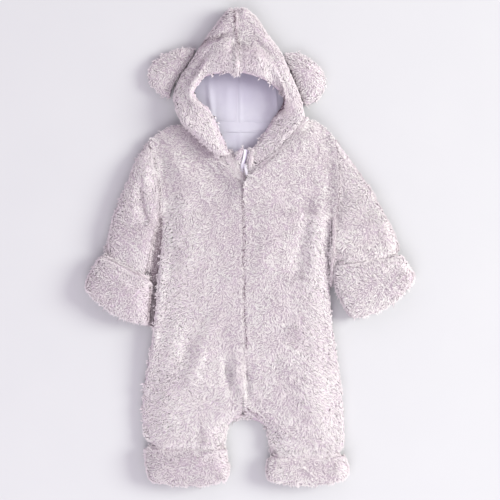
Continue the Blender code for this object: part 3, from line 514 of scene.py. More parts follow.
GUARD = SimpleNamespace(low=14.0, high=23.0, foot=104.0, length=32.0, cloth=7.5)
GUARD_ROUNDING = SimpleNamespace(outer=3, inner=3, start=5, end=4)
ZIP_TAPE_EDGES = table(
    "outer_x outer_y inner_x inner_y right_z left_x left_y left_far_x left_far_y left_z",
    (-7.5, 139.5, -3.6, 138.5, 25.6, -0.4, 139, 1.6, 138.5, 25),
    (-9.4, 128, -5.4, 127, 25.0, -1.6, 128, 1.0, 127, 24.6),
    (-12.1, 117, -8.6, 116, 23.7, -3.6, 117, -0.4, 116, 23.7),
    (-13.8, 106, -9.4, 106, 21.4, -6.6, 106, -2.6, 106, 21),
)


# ---------------------------------------------------------------- skins of the cloth

PILE = 3.3  # how deep the pile is
PRESSED_PILE = 2.8  # and under the garment's weight
SKIN_WALL = 1.3  # least thickness of the cloth without its pile
FLOOR_GAP = 0.2  # the pile's tips stay this far off the floor
NO_INSET = SimpleNamespace(outer=0.0, inner=0.0, start=0.0, end=0.0)
PANEL_STEPS = (0.0, 1.0, 2.5, 4.5, 7.0, 10.0)  # lines of points beside an edge, by their distance to it


MIDDLE_POINTS = 400  # along which a flat piece's length is measured
MOST_INSET = 0.7  # the share of a row's width that both insets may take


def flat_skins(edges, grid, under, top, inset, steps):
    """Lower and upper skin of a flat piece, each a grid of so many rows and columns.

    Every row runs straight, or bowed, from one edge to the other. Both edges are smooth curves through
    their points. The outline is drawn in by `inset`, and the heights come from each place's distances to
    the whole outline.
    """
    rows, columns = grid
    outer = pair(edges.outer_x, edges.outer_y)
    inner = pair(edges.inner_x, edges.inner_y)
    bow = getattr(edges, "bow", np.zeros(len(outer)))[:, None]
    dense = np.linspace(0, len(outer) - 1, MIDDLE_POINTS)
    middle = through((outer + inner) / 2, dense)
    run = run_along(middle)
    down = inset.start + from_edges(run[-1] - inset.start - inset.end, rows, steps)[0]
    at = np.interp(down, run, dense)
    a, b, rise = through(outer, at), through(inner, at), through(bow, at)
    b[:, 0] = edges.limit(b[:, 0]) if hasattr(edges, "limit") else b[:, 0]
    width = np.linalg.norm(b - a, axis=1)
    first = inset.outer(a[:, 1]) if callable(inset.outer) else np.full(rows, float(inset.outer))
    last = inset.inner(b[:, 1]) if callable(inset.inner) else np.full(rows, float(inset.inner))
    spare = np.minimum(1.0, MOST_INSET * width / np.maximum(first + last, 0.01))
    first, last = first * spare, last * spare
    across = first[:, None] + from_edges(width - first - last, columns, steps)
    share = across / width[:, None]
    place = a[:, None] + (b - a)[:, None] * share[..., None]
    place[..., 1] += rise * 4 * share * (1 - share)
    near = SimpleNamespace(
        outer=across,
        inner=width[:, None] - across,
        start=np.repeat(down[:, None], columns, 1),
        end=np.repeat(run[-1] - down[:, None], columns, 1),
    )
    x, y = place[..., 0], place[..., 1]
    low = under(x, y, near)
    high = top(x, y, near, low)
    return np.dstack([x, y, low]), np.dstack([x, y, high])


def raised(skin, amount):
    """The skin moved up by a number, or by one number for each point."""
    moved = skin.copy()
    moved[..., 2] += amount
    return moved


def cloth_above(edges, grid, under, top, inset, steps, pile=PILE, creases=()):
    """A flat piece whose pile is on its upper side."""
    low, high = flat_skins(edges, grid, under, top, inset, steps)
    tips = flat_skins(edges, grid, under, top, NO_INSET, steps)[1]
    low, high, tips = (raised(g, relief(creases, g[..., 0], g[..., 1])) for g in (low, high, tips))
    outer = raised(high, -pile)
    outer[..., 2] = np.maximum(outer[..., 2], low[..., 2] + SKIN_WALL)
    return SimpleNamespace(outer=outer, inner=low, tips=tips, around=False)


def cloth_below(edges, grid, under, top, inset, steps):
    """A flat piece whose pile is on its lower side, pressed against the floor."""
    low, high = flat_skins(edges, grid, under, top, inset, steps)
    tips = flat_skins(edges, grid, under, top, NO_INSET, steps)[0]
    return SimpleNamespace(
        outer=raised(low, PRESSED_PILE), inner=high, tips=raised(tips, FLOOR_GAP), around=False
    )


ROUND_LOOKS = 0.85 * ROUND_OUTSIDE
TUBE_SIDES = 48
TUBE_ENDS = (0.3, 0.2)  # how far inside the first and the last row the cloth starts and ends


def tube_skin(t, rows, cut, power, ends, folds):
    """One skin of a flattened tube.

    Across each row it is a superellipse between the two edges, bowed along the tube. `cut` is how far it
    lies inside the solid at the sides, below and above: without it, as far as the cloth is thick.
    """
    values = np.stack(list(vars(t).values()), 1)
    s = through(values, np.linspace(ends[0], len(values) - 1 - ends[1], rows))
    cloth = np.minimum(s[:, 7], t.cloth.max())
    side, below, above = cut or (cloth, cloth, cloth)
    a, b = s[:, 0:2], s[:, 2:4]
    half = (b - a) / 2
    along = unit(half)
    ahead = np.stack([-along[:, 1], along[:, 0]], 1)
    turn = np.linspace(0, 2 * np.pi, TUBE_SIDES, endpoint=False)
    across = np.sign(np.cos(turn)) * np.abs(np.cos(turn)) ** power
    up = np.sign(np.sin(turn)) * np.abs(np.sin(turn)) ** power
    width = np.linalg.norm(half, axis=1) - side
    place = (a + b)[:, None] / 2 + along[:, None] * (width[:, None] * across)[..., None]
    place = place + ahead[:, None] * (s[:, 4, None] * (1 - across**2))[..., None]
    low, high = np.maximum(s[:, 5], 0) + below, s[:, 6] - above
    sunk = SLEEVE_SUNK * (high - low)
    z = (low - sunk + high)[:, None] / 2 + ((high - low + sunk) / 2)[:, None] * up
    crest = relief(folds, place[..., 0], place[..., 1]) * np.clip(up, 0, 1)
    return np.dstack([place, np.maximum(z + crest, low[:, None])])


def tube_cloth(stations, rows, folds):
    """A tube of cloth with its pile outside."""
    return SimpleNamespace(
        outer=tube_skin(stations, rows, (PILE, PRESSED_PILE, PILE), ROUND_LOOKS, TUBE_ENDS, folds),
        inner=tube_skin(stations, rows, None, ROUND_INSIDE, TUBE_ENDS, folds),
        tips=tube_skin(stations, rows, (0.0, FLOOR_GAP, 0.0), ROUND_LOOKS, (0.0, 0.0), folds),
        around=True,
    )


HOOD_FINE_ROWS = 54
HOOD_BACK = 7  # points of a row under the fold, round it and in front of it
HOOD_ROUND = 13
HOOD_FRONT = 18
HOOD_ENDS = (0.12, 0.3)  # how far inside the first and the last row the cloth starts and ends
HOOD_RIM = 4.0  # how far the cloth ends before its pile does
LINING_RIM = 9.0  # and the lining
FAR = 99.0  # stands for no rim near
RIM_RADIUS = 12.0
RIM_DROP = 6.0  # the edge of the face opening rolls down by this much
RIM_ROLL = 14.0  # over this distance
SIDE_SLOPES = (7.0, 17.0)  # how far the hood's right and left sides slope down into the face opening
SLOPE_BROW = 0.3  # they start to slope where the brow's share is less than this,
SLOPE_CLOTH = (6.0, 2.5)  # and where the cloth is thicker than the first, wholly so much thicker
SLOPE_POWER = 1.1
MOST_DRAWN = 0.7  # the share of the front that the rim may take
HOOD_SEAM_X = -18.0
SEAM_RADIUS = 6.0
SEAM_NOTCH = 0.5
SEAM_PEAK = (262.0, 24.0)  # the notch starts at this Y, and is whole so much higher


def hood_places(t, rim=0.0, ends=(0.0, 0.0), lined=False):
    """Middle of the hood's cloth, and the way out of it, from the neck seam round the fold to the face.

    In a cut across, it is a straight line from the root to the fold, half an ellipse round the fold, and a
    smooth step over the brow from there to `rim` before the face edge.
    """
    values = np.stack(list(vars(t).values()), 1)
    last = len(values) - 1
    reach = last * (LINED_ROWS - 1) / (HOOD_ROWS - 1) if lined else last - ends[1]
    at = np.linspace(ends[0], reach, HOOD_FINE_ROWS)
    s = through(values, at)
    root, fold, edge = s[:, 0:2], s[:, 2:4], s[:, 4:6]
    low, high, lip, brow, cloth = s[:, 6:].T
    low = np.maximum(low, cloth / 2)
    beside = np.clip(at[:, None] + np.array([-FOLD_BESIDE, FOLD_BESIDE]), 0, last).ravel()
    dense = through(values[:, 2:4], beside)
    run = dense[1::2] - dense[::2]
    outward = np.stack([run[:, 1], -run[:, 0]], 1)
    outward *= np.sign((outward * (fold - (root + edge) / 2)).sum(1))[:, None]
    along_seam = smooth(at / SEAM_ROWS)[:, None]
    outward = unit(np.array([[0.0, 1.0]]) * (1 - along_seam) + unit(outward) * along_seam)
    radius = (high - low) / 2
    centre = fold - outward * (cloth / 2 + FOLD_FLATNESS * radius)[:, None]
    reach = np.linalg.norm(edge - centre, axis=1)
    drawn = 1.0 - np.minimum(rim / np.maximum(reach, 1.0), MOST_DRAWN)
    flat = np.zeros(HOOD_FINE_ROWS)
    thick = smooth((cloth - SLOPE_CLOTH[0]) / SLOPE_CLOTH[1])
    slope = SIDE_SLOPES[t is HOOD_LEFT] * (1 - smooth(brow / SLOPE_BROW)) * thick
    place, way, to_rim = [], [], []
    for share in np.linspace(0, 1, HOOD_BACK, endpoint=False):
        spot = root + (centre - root) * share
        place.append(np.column_stack([spot, low]))
        way.append(np.column_stack([outward * 0, flat - 1]))
        to_rim.append(flat + FAR)
    for angle in np.linspace(-np.pi / 2, np.pi / 2, HOOD_ROUND):
        spot = centre + outward * (FOLD_FLATNESS * radius * np.cos(angle))[:, None]
        place.append(np.column_stack([spot, (low + high) / 2 + radius * np.sin(angle)]))
        way.append(np.column_stack([outward * np.cos(angle), flat + np.sin(angle)]))
        to_rim.append(flat + FAR)
    for share in np.linspace(0, 1, HOOD_FRONT + 1)[1:]:
        share = share * drawn
        spot = centre + (edge - centre) * share[:, None]
        step = smooth((share - brow) / np.maximum(BROW_RUN, (1 - brow) / 2))
        bulge = np.sin(np.pi * np.clip((share - brow) / (1 - brow), 0, 1))
        crown = HOOD_CROWN * bulge * (cloth > FULL_CLOTH)
        left = reach * (1 - share)
        roll = RIM_DROP * np.clip(1 - left / RIM_ROLL, 0, 1) ** 2
        roll = roll + slope * share**SLOPE_POWER
        place.append(np.column_stack([spot, high + (lip - high) * step + crown - roll]))
        way.append(np.column_stack([outward * 0, flat + 1]))
        to_rim.append(left)
    return np.stack(place, 1), np.stack(way, 1), np.stack(to_rim, 1), cloth[:, None]


def thinned(place, way, to_rim):
    """The share of the cloth's outer half that is there, near the rim and near the centre seam."""
    rim = FRONT_EDGE + (1 - FRONT_EDGE) * rounded(to_rim, RIM_RADIUS)
    start, run = SEAM_PEAK
    notch = SEAM_NOTCH * smooth((place[..., 1] - start) / run)
    seam = 1 - notch + notch * rounded(np.abs(place[..., 0] - HOOD_SEAM_X), SEAM_RADIUS)
    return rim * np.where(way[..., 2] > 0, seam, 1.0)


def hood_cloth(t):
    """The hood's cloth with its pile outside."""
    place, way, to_rim, cloth = hood_places(t, HOOD_RIM, HOOD_ENDS)
    thin = thinned(place, way, to_rim)
    pile = np.where(way[..., 2] < -0.9, PRESSED_PILE, PILE)
    outer = place + way * np.maximum(cloth / 2 * thin - pile, SKIN_WALL - cloth / 2)[..., None]
    inner = place - way * (cloth / 2)[..., None]
    place, way, to_rim, cloth = hood_places(t)
    tips = place + way * (cloth / 2 * thinned(place, way, to_rim))[..., None]
    up = np.clip(way[..., 2], 0, 1)
    crests = [relief(HOOD_CREASES, g[..., 0], g[..., 1]) * up for g in (outer, inner, tips)]
    outer, inner, tips = (raised(g, c) for g, c in zip((outer, inner, tips), crests, strict=True))
    return SimpleNamespace(outer=outer, inner=inner, tips=tips, around=False)


def hood_jersey(t):
    """The hood's lining: its outer skin against the hood, and its inner skin, which shows."""
    place, way, _, cloth = hood_places(t, LINING_RIM, lined=True)
    amount = cloth / 2 + SEAM + LINING_SLACK
    crest = relief(LINING_FOLDS, place[..., 0], place[..., 1]) * np.clip(-way[..., 2], 0, 1)
    outer = place - way * amount[..., None]
    return outer, place - way * (amount + LINING + np.maximum(crest, LEAST_CREST))[..., None]


# ---------------------------------------------------------------- meshes

CORD_RINGS = 12  # between two points of a cord's line
CORD_SHADED_HEIGHT = -0.15  # the height in the pile that a welt's cord is coloured as: a little below the roots, which paints in shade
CORD_POINT = 0.4  # a cord's end narrows over this share of the way to the next point


def add_mesh(name, points, faces, finish):
    """An object at the origin from points in millimetres and an array of faces."""
    mesh = bpy.data.meshes.new(name)
    mesh.from_pydata((points * MM).tolist(), [], faces.tolist())
    mesh.update()
    mesh.materials.append(finish)
    mesh.polygons.foreach_set("use_smooth", np.ones(len(faces), bool))
    ob = bpy.data.objects.new(name, mesh)
    bpy.context.scene.collection.objects.link(ob)
    return ob


def closed_mesh(name, points, faces, finish):
    """A closed mesh of four-sided faces, turned round if they face inwards.

    The sum of a.(b x c) over its triangles is six times its volume.
    """
    a, b, c, d = (points[faces[:, k]] for k in range(4))
    volume = (a * (np.cross(b, c) + np.cross(c, d))).sum()
    return add_mesh(name, points, faces if volume > 0 else faces[:, ::-1], finish)


def quads(a, b, c, d):
    return np.stack([a, b, c, d], -1).reshape(-1, 4)


def grid_faces(rows, columns, around):
    """The numbers of a grid's points, and its faces. Around a tube, the last column meets the first."""
    index = np.arange(rows * columns).reshape(rows, columns)
    if around:
        index = np.hstack([index, index[:, :1]])
    return index, quads(index[:-1, :-1], index[:-1, 1:], index[1:, 1:], index[1:, :-1])


def wall_mesh(name, outer, inner, finish, around=False):
    """A closed wall between two grids of points."""
    index, top = grid_faces(*outer.shape[:2], around)
    count = outer.size // 3
    first, last, left, right = index[0], index[-1], index[:, 0], index[:, -1]
    rims = [(first[1:], first[:-1]), (last[:-1], last[1:])]
    if not around:
        rims += [(left[:-1], left[1:]), (right[1:], right[:-1])]
    rims = [quads(a, b, b + count, a + count) for a, b in rims]
    points = np.vstack([outer.reshape(-1, 3), inner.reshape(-1, 3)])
    return closed_mesh(name, points, np.vstack([top, top[:, ::-1] + count, *rims]), finish)


def rings(line, radius, sides, flatness):
    """The rings of points of a round or flat cord through the points of a line, pointed at both ends."""
    line = np.array(line, float)
    at = np.linspace(0, len(line) - 1, CORD_RINGS * (len(line) - 1) + 1)
    spots = through(line, at)
    run = unit(np.gradient(spots, axis=0))
    side = unit(np.cross(run, [0.0, 0.0, 1.0]))
    up = np.cross(side, run)
    size = radius * rounded(np.minimum(at, at[-1] - at), CORD_POINT)[:, None, None]
    turn = np.linspace(0, 2 * np.pi, sides, endpoint=False)[None, :, None]
    return spots[:, None] + size * (side[:, None] * np.cos(turn) + up[:, None] * np.sin(turn) * flatness)


def cord(name, line, radius, finish, sides=12, flatness=1.0):
    """A round or flat cord through the points of a line, pointed at both ends."""
    ring = rings(line, radius, sides, flatness)
    return closed_mesh(name, ring.reshape(-1, 3), grid_faces(*ring.shape[:2], True)[1], finish)


# ---------------------------------------------------------------- pile

RNG = np.random.default_rng(11)
WAVE_COUNT = 18


class Waves:
    """A smooth random number between about -1 and 1 at each place: a sum of sines in random directions."""

    def __init__(self, shortest, longest):
        way = unit(RNG.normal(size=(WAVE_COUNT, 3)))
        self.turn = way * (2 * np.pi / RNG.uniform(shortest, longest, WAVE_COUNT))[:, None]
        self.start = RNG.uniform(0, 2 * np.pi, WAVE_COUNT)
        self.scale = 1 / np.sqrt(WAVE_COUNT / 1.5)

    def __call__(self, place):
        return np.sin(place @ self.turn.T + self.start).sum(1) * self.scale

    def slope(self, place):
        """How fast the number grows, in each direction."""
        return np.cos(place @ self.turn.T + self.start) @ self.turn * self.scale


SWIRL = Waves(11, 40)  # turns the pile
CLUMPS = Waves(6, 16)  # gathers it
COMBED = -2.2  # the way the pile lies: down the garment
SWIRL_SHARE = 0.9
CLUMP_SHARE = 0.16  # of a lock's height, more or less
STRAY = 0.26  # how far a lock turns out of its neighbours' way
CURLINESS = 0.1
LOCK_ROOM = 2.95 * 1  # square millimetres of cloth for each lock
LOCK_WIDTH = 0.58
LOCK_REACH = 4.1
TALL = (0.75, 1.1)  # least and most height, reach and width of a lock, as shares of the usual ones
LONG = (0.6, 1.25)
WIDE = (0.7, 1.2)
UNDER_SHARE = 0.22  # of the places on the underside have a lock,
UNDER_SCALE = 2.1  # which is so much wider and longer
EDGE_LEAN = 1.2  # at an edge, the pile leans out of the cloth
EDGE_START = (1.8, 1.5)  # from where its tips lie so far outside its roots, and wholly so much farther
EDGE_SHORT = 0.35  # the share of its reach that a lock there lacks
OWN_SHADE = 0.06  # the share of a lock's own shape in how it is shaded
MOST_TILT = 0.28  # how far from straight up the pile is shaded, as a sine
CLUMP_SHADE = 0.18  # height in millimetres of the waves that the clumps are shaded as
EDGE_SHADE = 0.3  # painted shade: how much darker the pile at the steep edges of a piece is coloured
STEEP = (0.5, 0.4)  # from this sine of its slope, and wholly so much steeper
SHADE_RANGE = (-0.3, 1.0)  # of the painted light and shade, from the brightest pile to the darkest
SEAM_SHADE_SHARE = (0.1, 1.0)  # how much of a seam line's painted shade a lock takes, at random between these
MOST_SPREAD = 3.2  # how far sideways of its root a lock may point
CANDIDATES = 3.5  # places tried for each lock
APART = 0.95  # side of the cube that holds one lock, as a share of the square that it has
KEY = 4099  # more cubes than a piece has in a row


def normals_of(grid, away_from):
    """The direction of the surface at each point of the grid, on the side away from the other grid."""
    normal = unit(np.cross(np.gradient(grid, axis=0), np.gradient(grid, axis=1)), 1e-6)
    facing = (normal * (grid - away_from)).sum(-1)
    return normal * np.where(facing < 0, -1.0, 1.0)[..., None]


def scattered(cloth):
    """Places spread evenly over the outer skin, one for each `LOCK_ROOM`.

    Candidates fall on each cell in proportion to its area, and one is kept in each small cube of space.
    Each place comes with the one on the tips that belongs to it, and with the tips' direction there.
    """
    outer, tips = cloth.outer, cloth.tips
    if cloth.around:
        outer, tips = (np.hstack([g, g[:, :1]]) for g in (outer, tips))
    facing = normals_of(tips, (outer + cloth.outer.mean((0, 1))) / 2 if cloth.around else outer)
    corners = [np.s_[:-1, :-1], np.s_[:-1, 1:], np.s_[1:, 1:], np.s_[1:, :-1]]
    a, b, c, d = (outer[k] for k in corners)
    area = 0.5 * np.linalg.norm(np.cross(c - a, d - b), axis=-1).ravel()
    count = np.floor(area * CANDIDATES / LOCK_ROOM + RNG.random(area.size)).astype(int)
    cell = np.repeat(np.arange(area.size), count)
    u, v = RNG.random((2, cell.size, 1))

    def at(grid):
        a, b, c, d = (grid[k].reshape(-1, 3)[cell] for k in corners)
        return a * (1 - u) * (1 - v) + b * u * (1 - v) + c * u * v + d * (1 - u) * v

    root, tip, facing = at(outer), at(tips), at(facing)
    aside = (tip - root)[:, :2]
    spread = np.maximum(np.linalg.norm(aside, axis=1), 0.1)[:, None]
    tip[:, :2] = root[:, :2] + aside * np.minimum(1, MOST_SPREAD / spread)
    order = RNG.permutation(len(root))
    root, tip, facing = root[order], tip[order], facing[order]
    box = np.floor(root / (APART * np.sqrt(LOCK_ROOM))).astype(np.int64)
    key = (box[:, 0] * KEY + box[:, 1]) * KEY + box[:, 2]
    kept = RNG.permutation(np.unique(key, return_index=True)[1])[: int(area.sum() / LOCK_ROOM)]
    return root[kept], tip[kept], facing[kept]


# A lock has a ring of three points at its root, one where it bends, and its point
LOCK_FACES = np.array(
    [(0, 4, 1), (0, 3, 4), (1, 5, 2), (1, 4, 5), (2, 3, 0), (2, 5, 3), (3, 6, 4), (4, 6, 5), (5, 6, 3)]
)
LOCK_HEIGHT = np.array([0.0, 0.0, 0.0, 0.6, 0.6, 0.6, 1.0])
LOCK_POINTS = len(LOCK_HEIGHT)
RISE = np.array([-0.12, 0.78, 1.0])  # in shares of the pile's depth
LEAN = np.array([0.0, 0.30, 1.0])  # in shares of the lock's reach
CURL = np.array([0.0, 0.45, -0.6])
WIDTH = (0.9, 1.0)
CORNERS = np.pi * np.array([0.5, 1.167, 1.833])  # of the ring, as turns
RING_FLATNESS = 0.85
MAP_TURNS = np.array([0, 1, 2, 0, 1, 2, 0]) * 2.1  # of the lock's points round the middle of its square
MAP_REACH = 0.35
LOWEST = 0.15  # no lock goes into the floor


def locks(root, tip, scale):
    """Curved locks of pile: three-sided, pointed, leaning over along the cloth, and outwards at its edges."""
    n = len(root)
    depth = np.linalg.norm(tip - root, axis=1)
    normal = unit(tip - root, 0.01)
    angle = COMBED + SWIRL_SHARE * SWIRL(root) + RNG.normal(0, STRAY, n)
    lean = np.stack([np.cos(angle), np.sin(angle), np.zeros(n)], 1)
    spread = np.linalg.norm((tip - root)[:, :2], axis=1)
    at_edge = smooth((spread - EDGE_START[0]) / EDGE_START[1])
    lean[:, :2] += (EDGE_LEAN * at_edge / np.maximum(spread, 0.1))[:, None] * (tip - root)[:, :2]
    lean = unit(lean - (lean * normal).sum(1)[:, None] * normal, 0.05)
    side = np.cross(normal, lean)
    tall = depth * RNG.uniform(*TALL, n) * (1 + CLUMP_SHARE * CLUMPS(root))
    reach = LOCK_REACH * scale
    long = reach * RNG.uniform(*LONG, n) * (1 - EDGE_SHORT * at_edge)
    curl = RNG.normal(0, CURLINESS, n) * reach
    wide = LOCK_WIDTH * scale * RNG.uniform(*WIDE, n)
    axis = [
        root
        + normal * (tall * RISE[k])[:, None]
        + lean * (long * LEAN[k])[:, None]
        + side * (curl * CURL[k])[:, None]
        for k in range(3)
    ]
    points = []
    for k, along in ((0, normal), (1, axis[2] - axis[0])):
        across = unit(np.cross(along, normal + 0.01 * side) if k else side, 0.01)
        up = np.cross(across, unit(along))
        for turn in CORNERS:
            ray = across * np.cos(turn) + up * np.sin(turn) * RING_FLATNESS
            points.append(axis[k] + ray * (wide * WIDTH[k])[:, None])
    points = np.stack([*points, axis[2]], 1)
    points[..., 2] = np.maximum(points[..., 2], LOWEST)
    return points


def soften(mesh, facing, lean):
    """Turns the locks' own shading directions towards the surface that they make up together."""
    own = np.empty(len(mesh.vertices) * 3)
    mesh.vertex_normals.foreach_get("vector", own)
    own = own.reshape(-1, LOCK_POINTS, 3)
    facing = unit(facing)
    tilt = np.maximum(np.linalg.norm(facing[:, :2], axis=1), 0.01)
    less = MOST_TILT * np.tanh(tilt / MOST_TILT)
    flat = np.column_stack([facing[:, :2] * (less / tilt)[:, None], np.sqrt(1 - less**2)])
    facing = np.where(facing[:, 2:] > -0.1, flat, facing)
    facing[:, :2] += lean
    facing = unit(facing)
    share = np.where(facing[:, 2] < -0.1, 0.0, 1 - OWN_SHADE)[:, None, None]
    mixed = unit(own * (1 - share) + facing[:, None] * share, 0.01)
    mesh.normals_split_custom_set_from_vertices(mixed.reshape(-1, 3).tolist())


def set_height_and_shade(ob, level):
    """Gives every point of the mesh its height in the pile, less where shade is painted, or all of them one
    height: the pile's colour follows it.
    """
    level = np.broadcast_to(np.asarray(level, float), len(ob.data.vertices))
    ob.data.attributes.new("height", "FLOAT", "POINT").data.foreach_set("value", level)


def fur(name, cloth, depth=0.0):
    """The pile of a piece of cloth, as one mesh of separate locks.

    Its map gives each lock a square of its own, and `height` is 0 at the root and 1 at the point, and less
    where shade is
    painted into its colour: by `depth` for pile deep in a gap, along the seam lines, at steep edges and along
    its SHADES lines. Where the cloth faces the floor, fewer and wider locks do.
    """
    root, tip, facing = scattered(cloth)
    below = (tip - root)[:, 2] < -0.5
    kept = ~below | (RNG.random(len(root)) < UNDER_SHARE)
    root, tip, facing, below = root[kept], tip[kept], facing[kept], below[kept]
    points = locks(root, tip, np.where(below, UNDER_SCALE, 1.0))
    n = len(points)
    faces = (LOCK_FACES[None] + (np.arange(n) * LOCK_POINTS)[:, None, None]).reshape(-1, 3)
    height = np.tile(LOCK_HEIGHT, n)
    # Painted shade: the seam lines, steep edges, gaps and SHADES lines lower the pile's height, which darkens
    # its colour
    seam_shade = relief(SEAM_SHADE_LINES, root[:, 0], root[:, 1]) * RNG.uniform(*SEAM_SHADE_SHARE, n)
    steep = smooth((np.linalg.norm(facing[:, :2], axis=1) - STEEP[0]) / STEEP[1])
    shade = depth + seam_shade + EDGE_SHADE * steep + relief(SHADES.get(name, ()), root[:, 0], root[:, 1])
    shade = np.repeat(np.clip(shade, *SHADE_RANGE), LOCK_POINTS)
    ob = add_mesh(name, points.reshape(-1, 3), faces, PILE_FINISH)
    set_height_and_shade(ob, height * (1 - shade) - shade)
    soften(ob.data, facing - CLUMP_SHADE * CLUMPS.slope(root), PILE_LEANS.get(name, (0.0, 0.0)))
    side = int(np.ceil(np.sqrt(n)))
    square = np.repeat(np.stack([np.arange(n) % side, np.arange(n) // side], 1) + 0.5, LOCK_POINTS, axis=0)
    turn = np.tile(MAP_TURNS, n)
    out = (1 - height) * MAP_REACH
    corner = np.stack([np.cos(turn) * out, np.sin(turn) * out], 1)
    uv = ((square + corner) / side)[faces.ravel()]
    ob.data.uv_layers.new(name="OFBake").data.foreach_set("uv", uv.ravel())
    return ob


# ---------------------------------------------------------------- finishes


class Value:
    """An output of a shader node; arithmetic on it adds Math nodes."""

    def __init__(self, finish, socket):
        self.finish = finish
        self.socket = socket

    def __mul__(self, other):
        return self.finish.node("ShaderNodeMath", {"operation": "MULTIPLY"}, {0: self, 1: other})

    __rmul__ = __mul__


class Finish:
    """A material with one Principled shader, and the nodes that feed it."""

    def __init__(self, name, **sockets):
        self.material = bpy.data.materials.new(name)
        self.material.use_nodes = True
        self.tree = self.material.node_tree
        self.shader = self.tree.nodes["Principled BSDF"]
        for socket, value in sockets.items():
            self.shader.inputs[socket.replace("_", " ")].default_value = value

    def node(self, kind, settings=None, values=None, output=0):
        made = self.tree.nodes.new(kind)
        for setting, value in (settings or {}).items():
            setattr(made, setting, value)
        for socket, value in (values or {}).items():
            if isinstance(value, Value):
                self.tree.links.new(value.socket, made.inputs[socket])
            else:
                made.inputs[socket].default_value = value
        return Value(self, made.outputs[output])

    def place(self):
        return self.node("ShaderNodeTexCoord", output="Object")

    def attribute(self, name):
        return self.node("ShaderNodeAttribute", {"attribute_name": name}, output="Fac")

    def noise(self, size, detail=2.0, roughness=0.5):
        """Noise whose patches are about `size` millimetres across."""
        values = {"Scale": 1.0 / (size * MM), "Detail": detail, "Roughness": roughness}
        return self.node("ShaderNodeTexNoise", None, {"Vector": self.place(), **values}, "Fac")

    def threads(self, way, scale, distortion, detail=2.0):
        """Rows of threads, as waves across the way that is named."""
        values = {"Vector": self.place(), "Scale": scale, "Distortion": distortion, "Detail": detail}
        return self.node("ShaderNodeTexWave", {"bands_direction": way}, values, "Fac")

    def ramp(self, value, low, high):
        """0 up to `low`, 1 from `high`, straight in between."""
        values = {"Value": value, "From Min": low, "From Max": high}
        return self.node("ShaderNodeMapRange", {"clamp": True}, values)

    def mix(self, factor, a, b):
        """The first colour where the factor is 0, and the second where it is 1."""
        colours = {0: factor, 6: a, 7: b}  # a Mix node's sockets for colours
        return self.node("ShaderNodeMix", {"data_type": "RGBA"}, colours, 2)

    def bump(self, height, distance):
        return self.node("ShaderNodeBump", values={"Height": height, "Distance": distance * MM})

    def feed(self, **sockets):
        for name, value in sockets.items():
            self.tree.links.new(value.socket, self.shader.inputs[name.replace("_", " ")])
        return self.material


def colour(red, green, blue):
    """A colour for the shader from its screen values, 0 to 255."""
    screen = np.array([red, green, blue]) / 255.0
    linear = np.where(screen <= 0.04045, screen / 12.92, ((screen + 0.055) / 1.055) ** 2.4)
    return (*linear.tolist(), 1.0)


def fleece_pile():
    f = Finish("fleece_pile", Roughness=0.9, Specular_IOR_Level=0.15)
    height = f.attribute("height")
    patch = f.ramp(f.noise(30, 2.0), 0.4, 0.62)
    small = f.ramp(f.noise(4, 2.0, 0.6), 0.3, 0.7)
    tip = f.mix(patch, colour(245, 240, 238), colour(247, 245, 241))
    tip = f.mix(small * 0.3, tip, colour(240, 233, 232))
    # Painted shade: where the height is below 0 the colour goes towards a dark mauve. Between root and tip
    # the pile is also a little darker towards its roots.
    root = f.mix(f.ramp(height, -1.0, 0.0), colour(122, 103, 110), colour(236, 227, 229))
    return f.feed(Base_Color=f.mix(f.ramp(height, 0.0, 0.6), root, tip))


def fleece_backing():
    f = Finish("fleece_backing", Roughness=0.95, Specular_IOR_Level=0.1)
    grain = f.noise(2.4, 3.0, 0.6)
    # Painted shade: the backing is coloured darker and more violet than the pile, for where it shows between
    # the locks
    base = f.mix(f.ramp(grain, 0.3, 0.7), colour(200, 185, 195), colour(219, 207, 215))
    return f.feed(Base_Color=base, Normal=f.bump(grain, 0.8))


def jersey():
    f = Finish("jersey", Roughness=0.8, Sheen_Weight=0.15)
    rows = f.threads("X", 380.0, 1.2, 1.0)
    cloud = f.ramp(f.noise(22, 2.0), 0.3, 0.7)
    upward = f.node("ShaderNodeSeparateXYZ", values={"Vector": f.place()}, output=1)
    base = f.mix(cloud, colour(208, 209, 215), colour(202, 202, 211))
    # Painted shade: the lining is coloured darker towards the top of the face opening, under the brow
    base = f.mix(f.ramp(upward, 0.19, 0.24) * 0.5, base, colour(172, 165, 186))
    base = f.mix(rows * 0.15, base, colour(188, 181, 206))
    return f.feed(Base_Color=base, Normal=f.bump(rows, 0.12))


def woven_tape():
    f = Finish("woven_tape", Roughness=0.7)
    grain = f.threads("DIAGONAL", 500.0, 0.4)
    base = f.mix(grain * 0.4, colour(248, 247, 252), colour(226, 223, 236))
    return f.feed(Base_Color=base, Normal=f.bump(grain, 0.1))


def zip_teeth():
    f = Finish("zip_teeth", Roughness=0.4)
    grain = f.noise(0.8, 2.0)
    return f.feed(Base_Color=f.mix(grain, colour(196, 184, 212), colour(222, 214, 232)))


def lacquer():
    f = Finish("lacquer", Roughness=0.35, Metallic=0.1)
    grain = f.noise(1.5, 2.0)
    return f.feed(Base_Color=f.mix(grain, colour(236, 235, 238), colour(222, 220, 226)))


def pale_floor():
    f = Finish("pale_floor", Roughness=0.75)
    grain = f.noise(120, 3.0)
    return f.feed(Base_Color=f.mix(grain, colour(203, 206, 205), colour(207, 210, 208)))


# ---------------------------------------------------------------- the pieces

PILE_FINISH = fleece_pile()
BACKING = fleece_backing()
JERSEY = jersey()
TAPE_CLOTH = woven_tape()

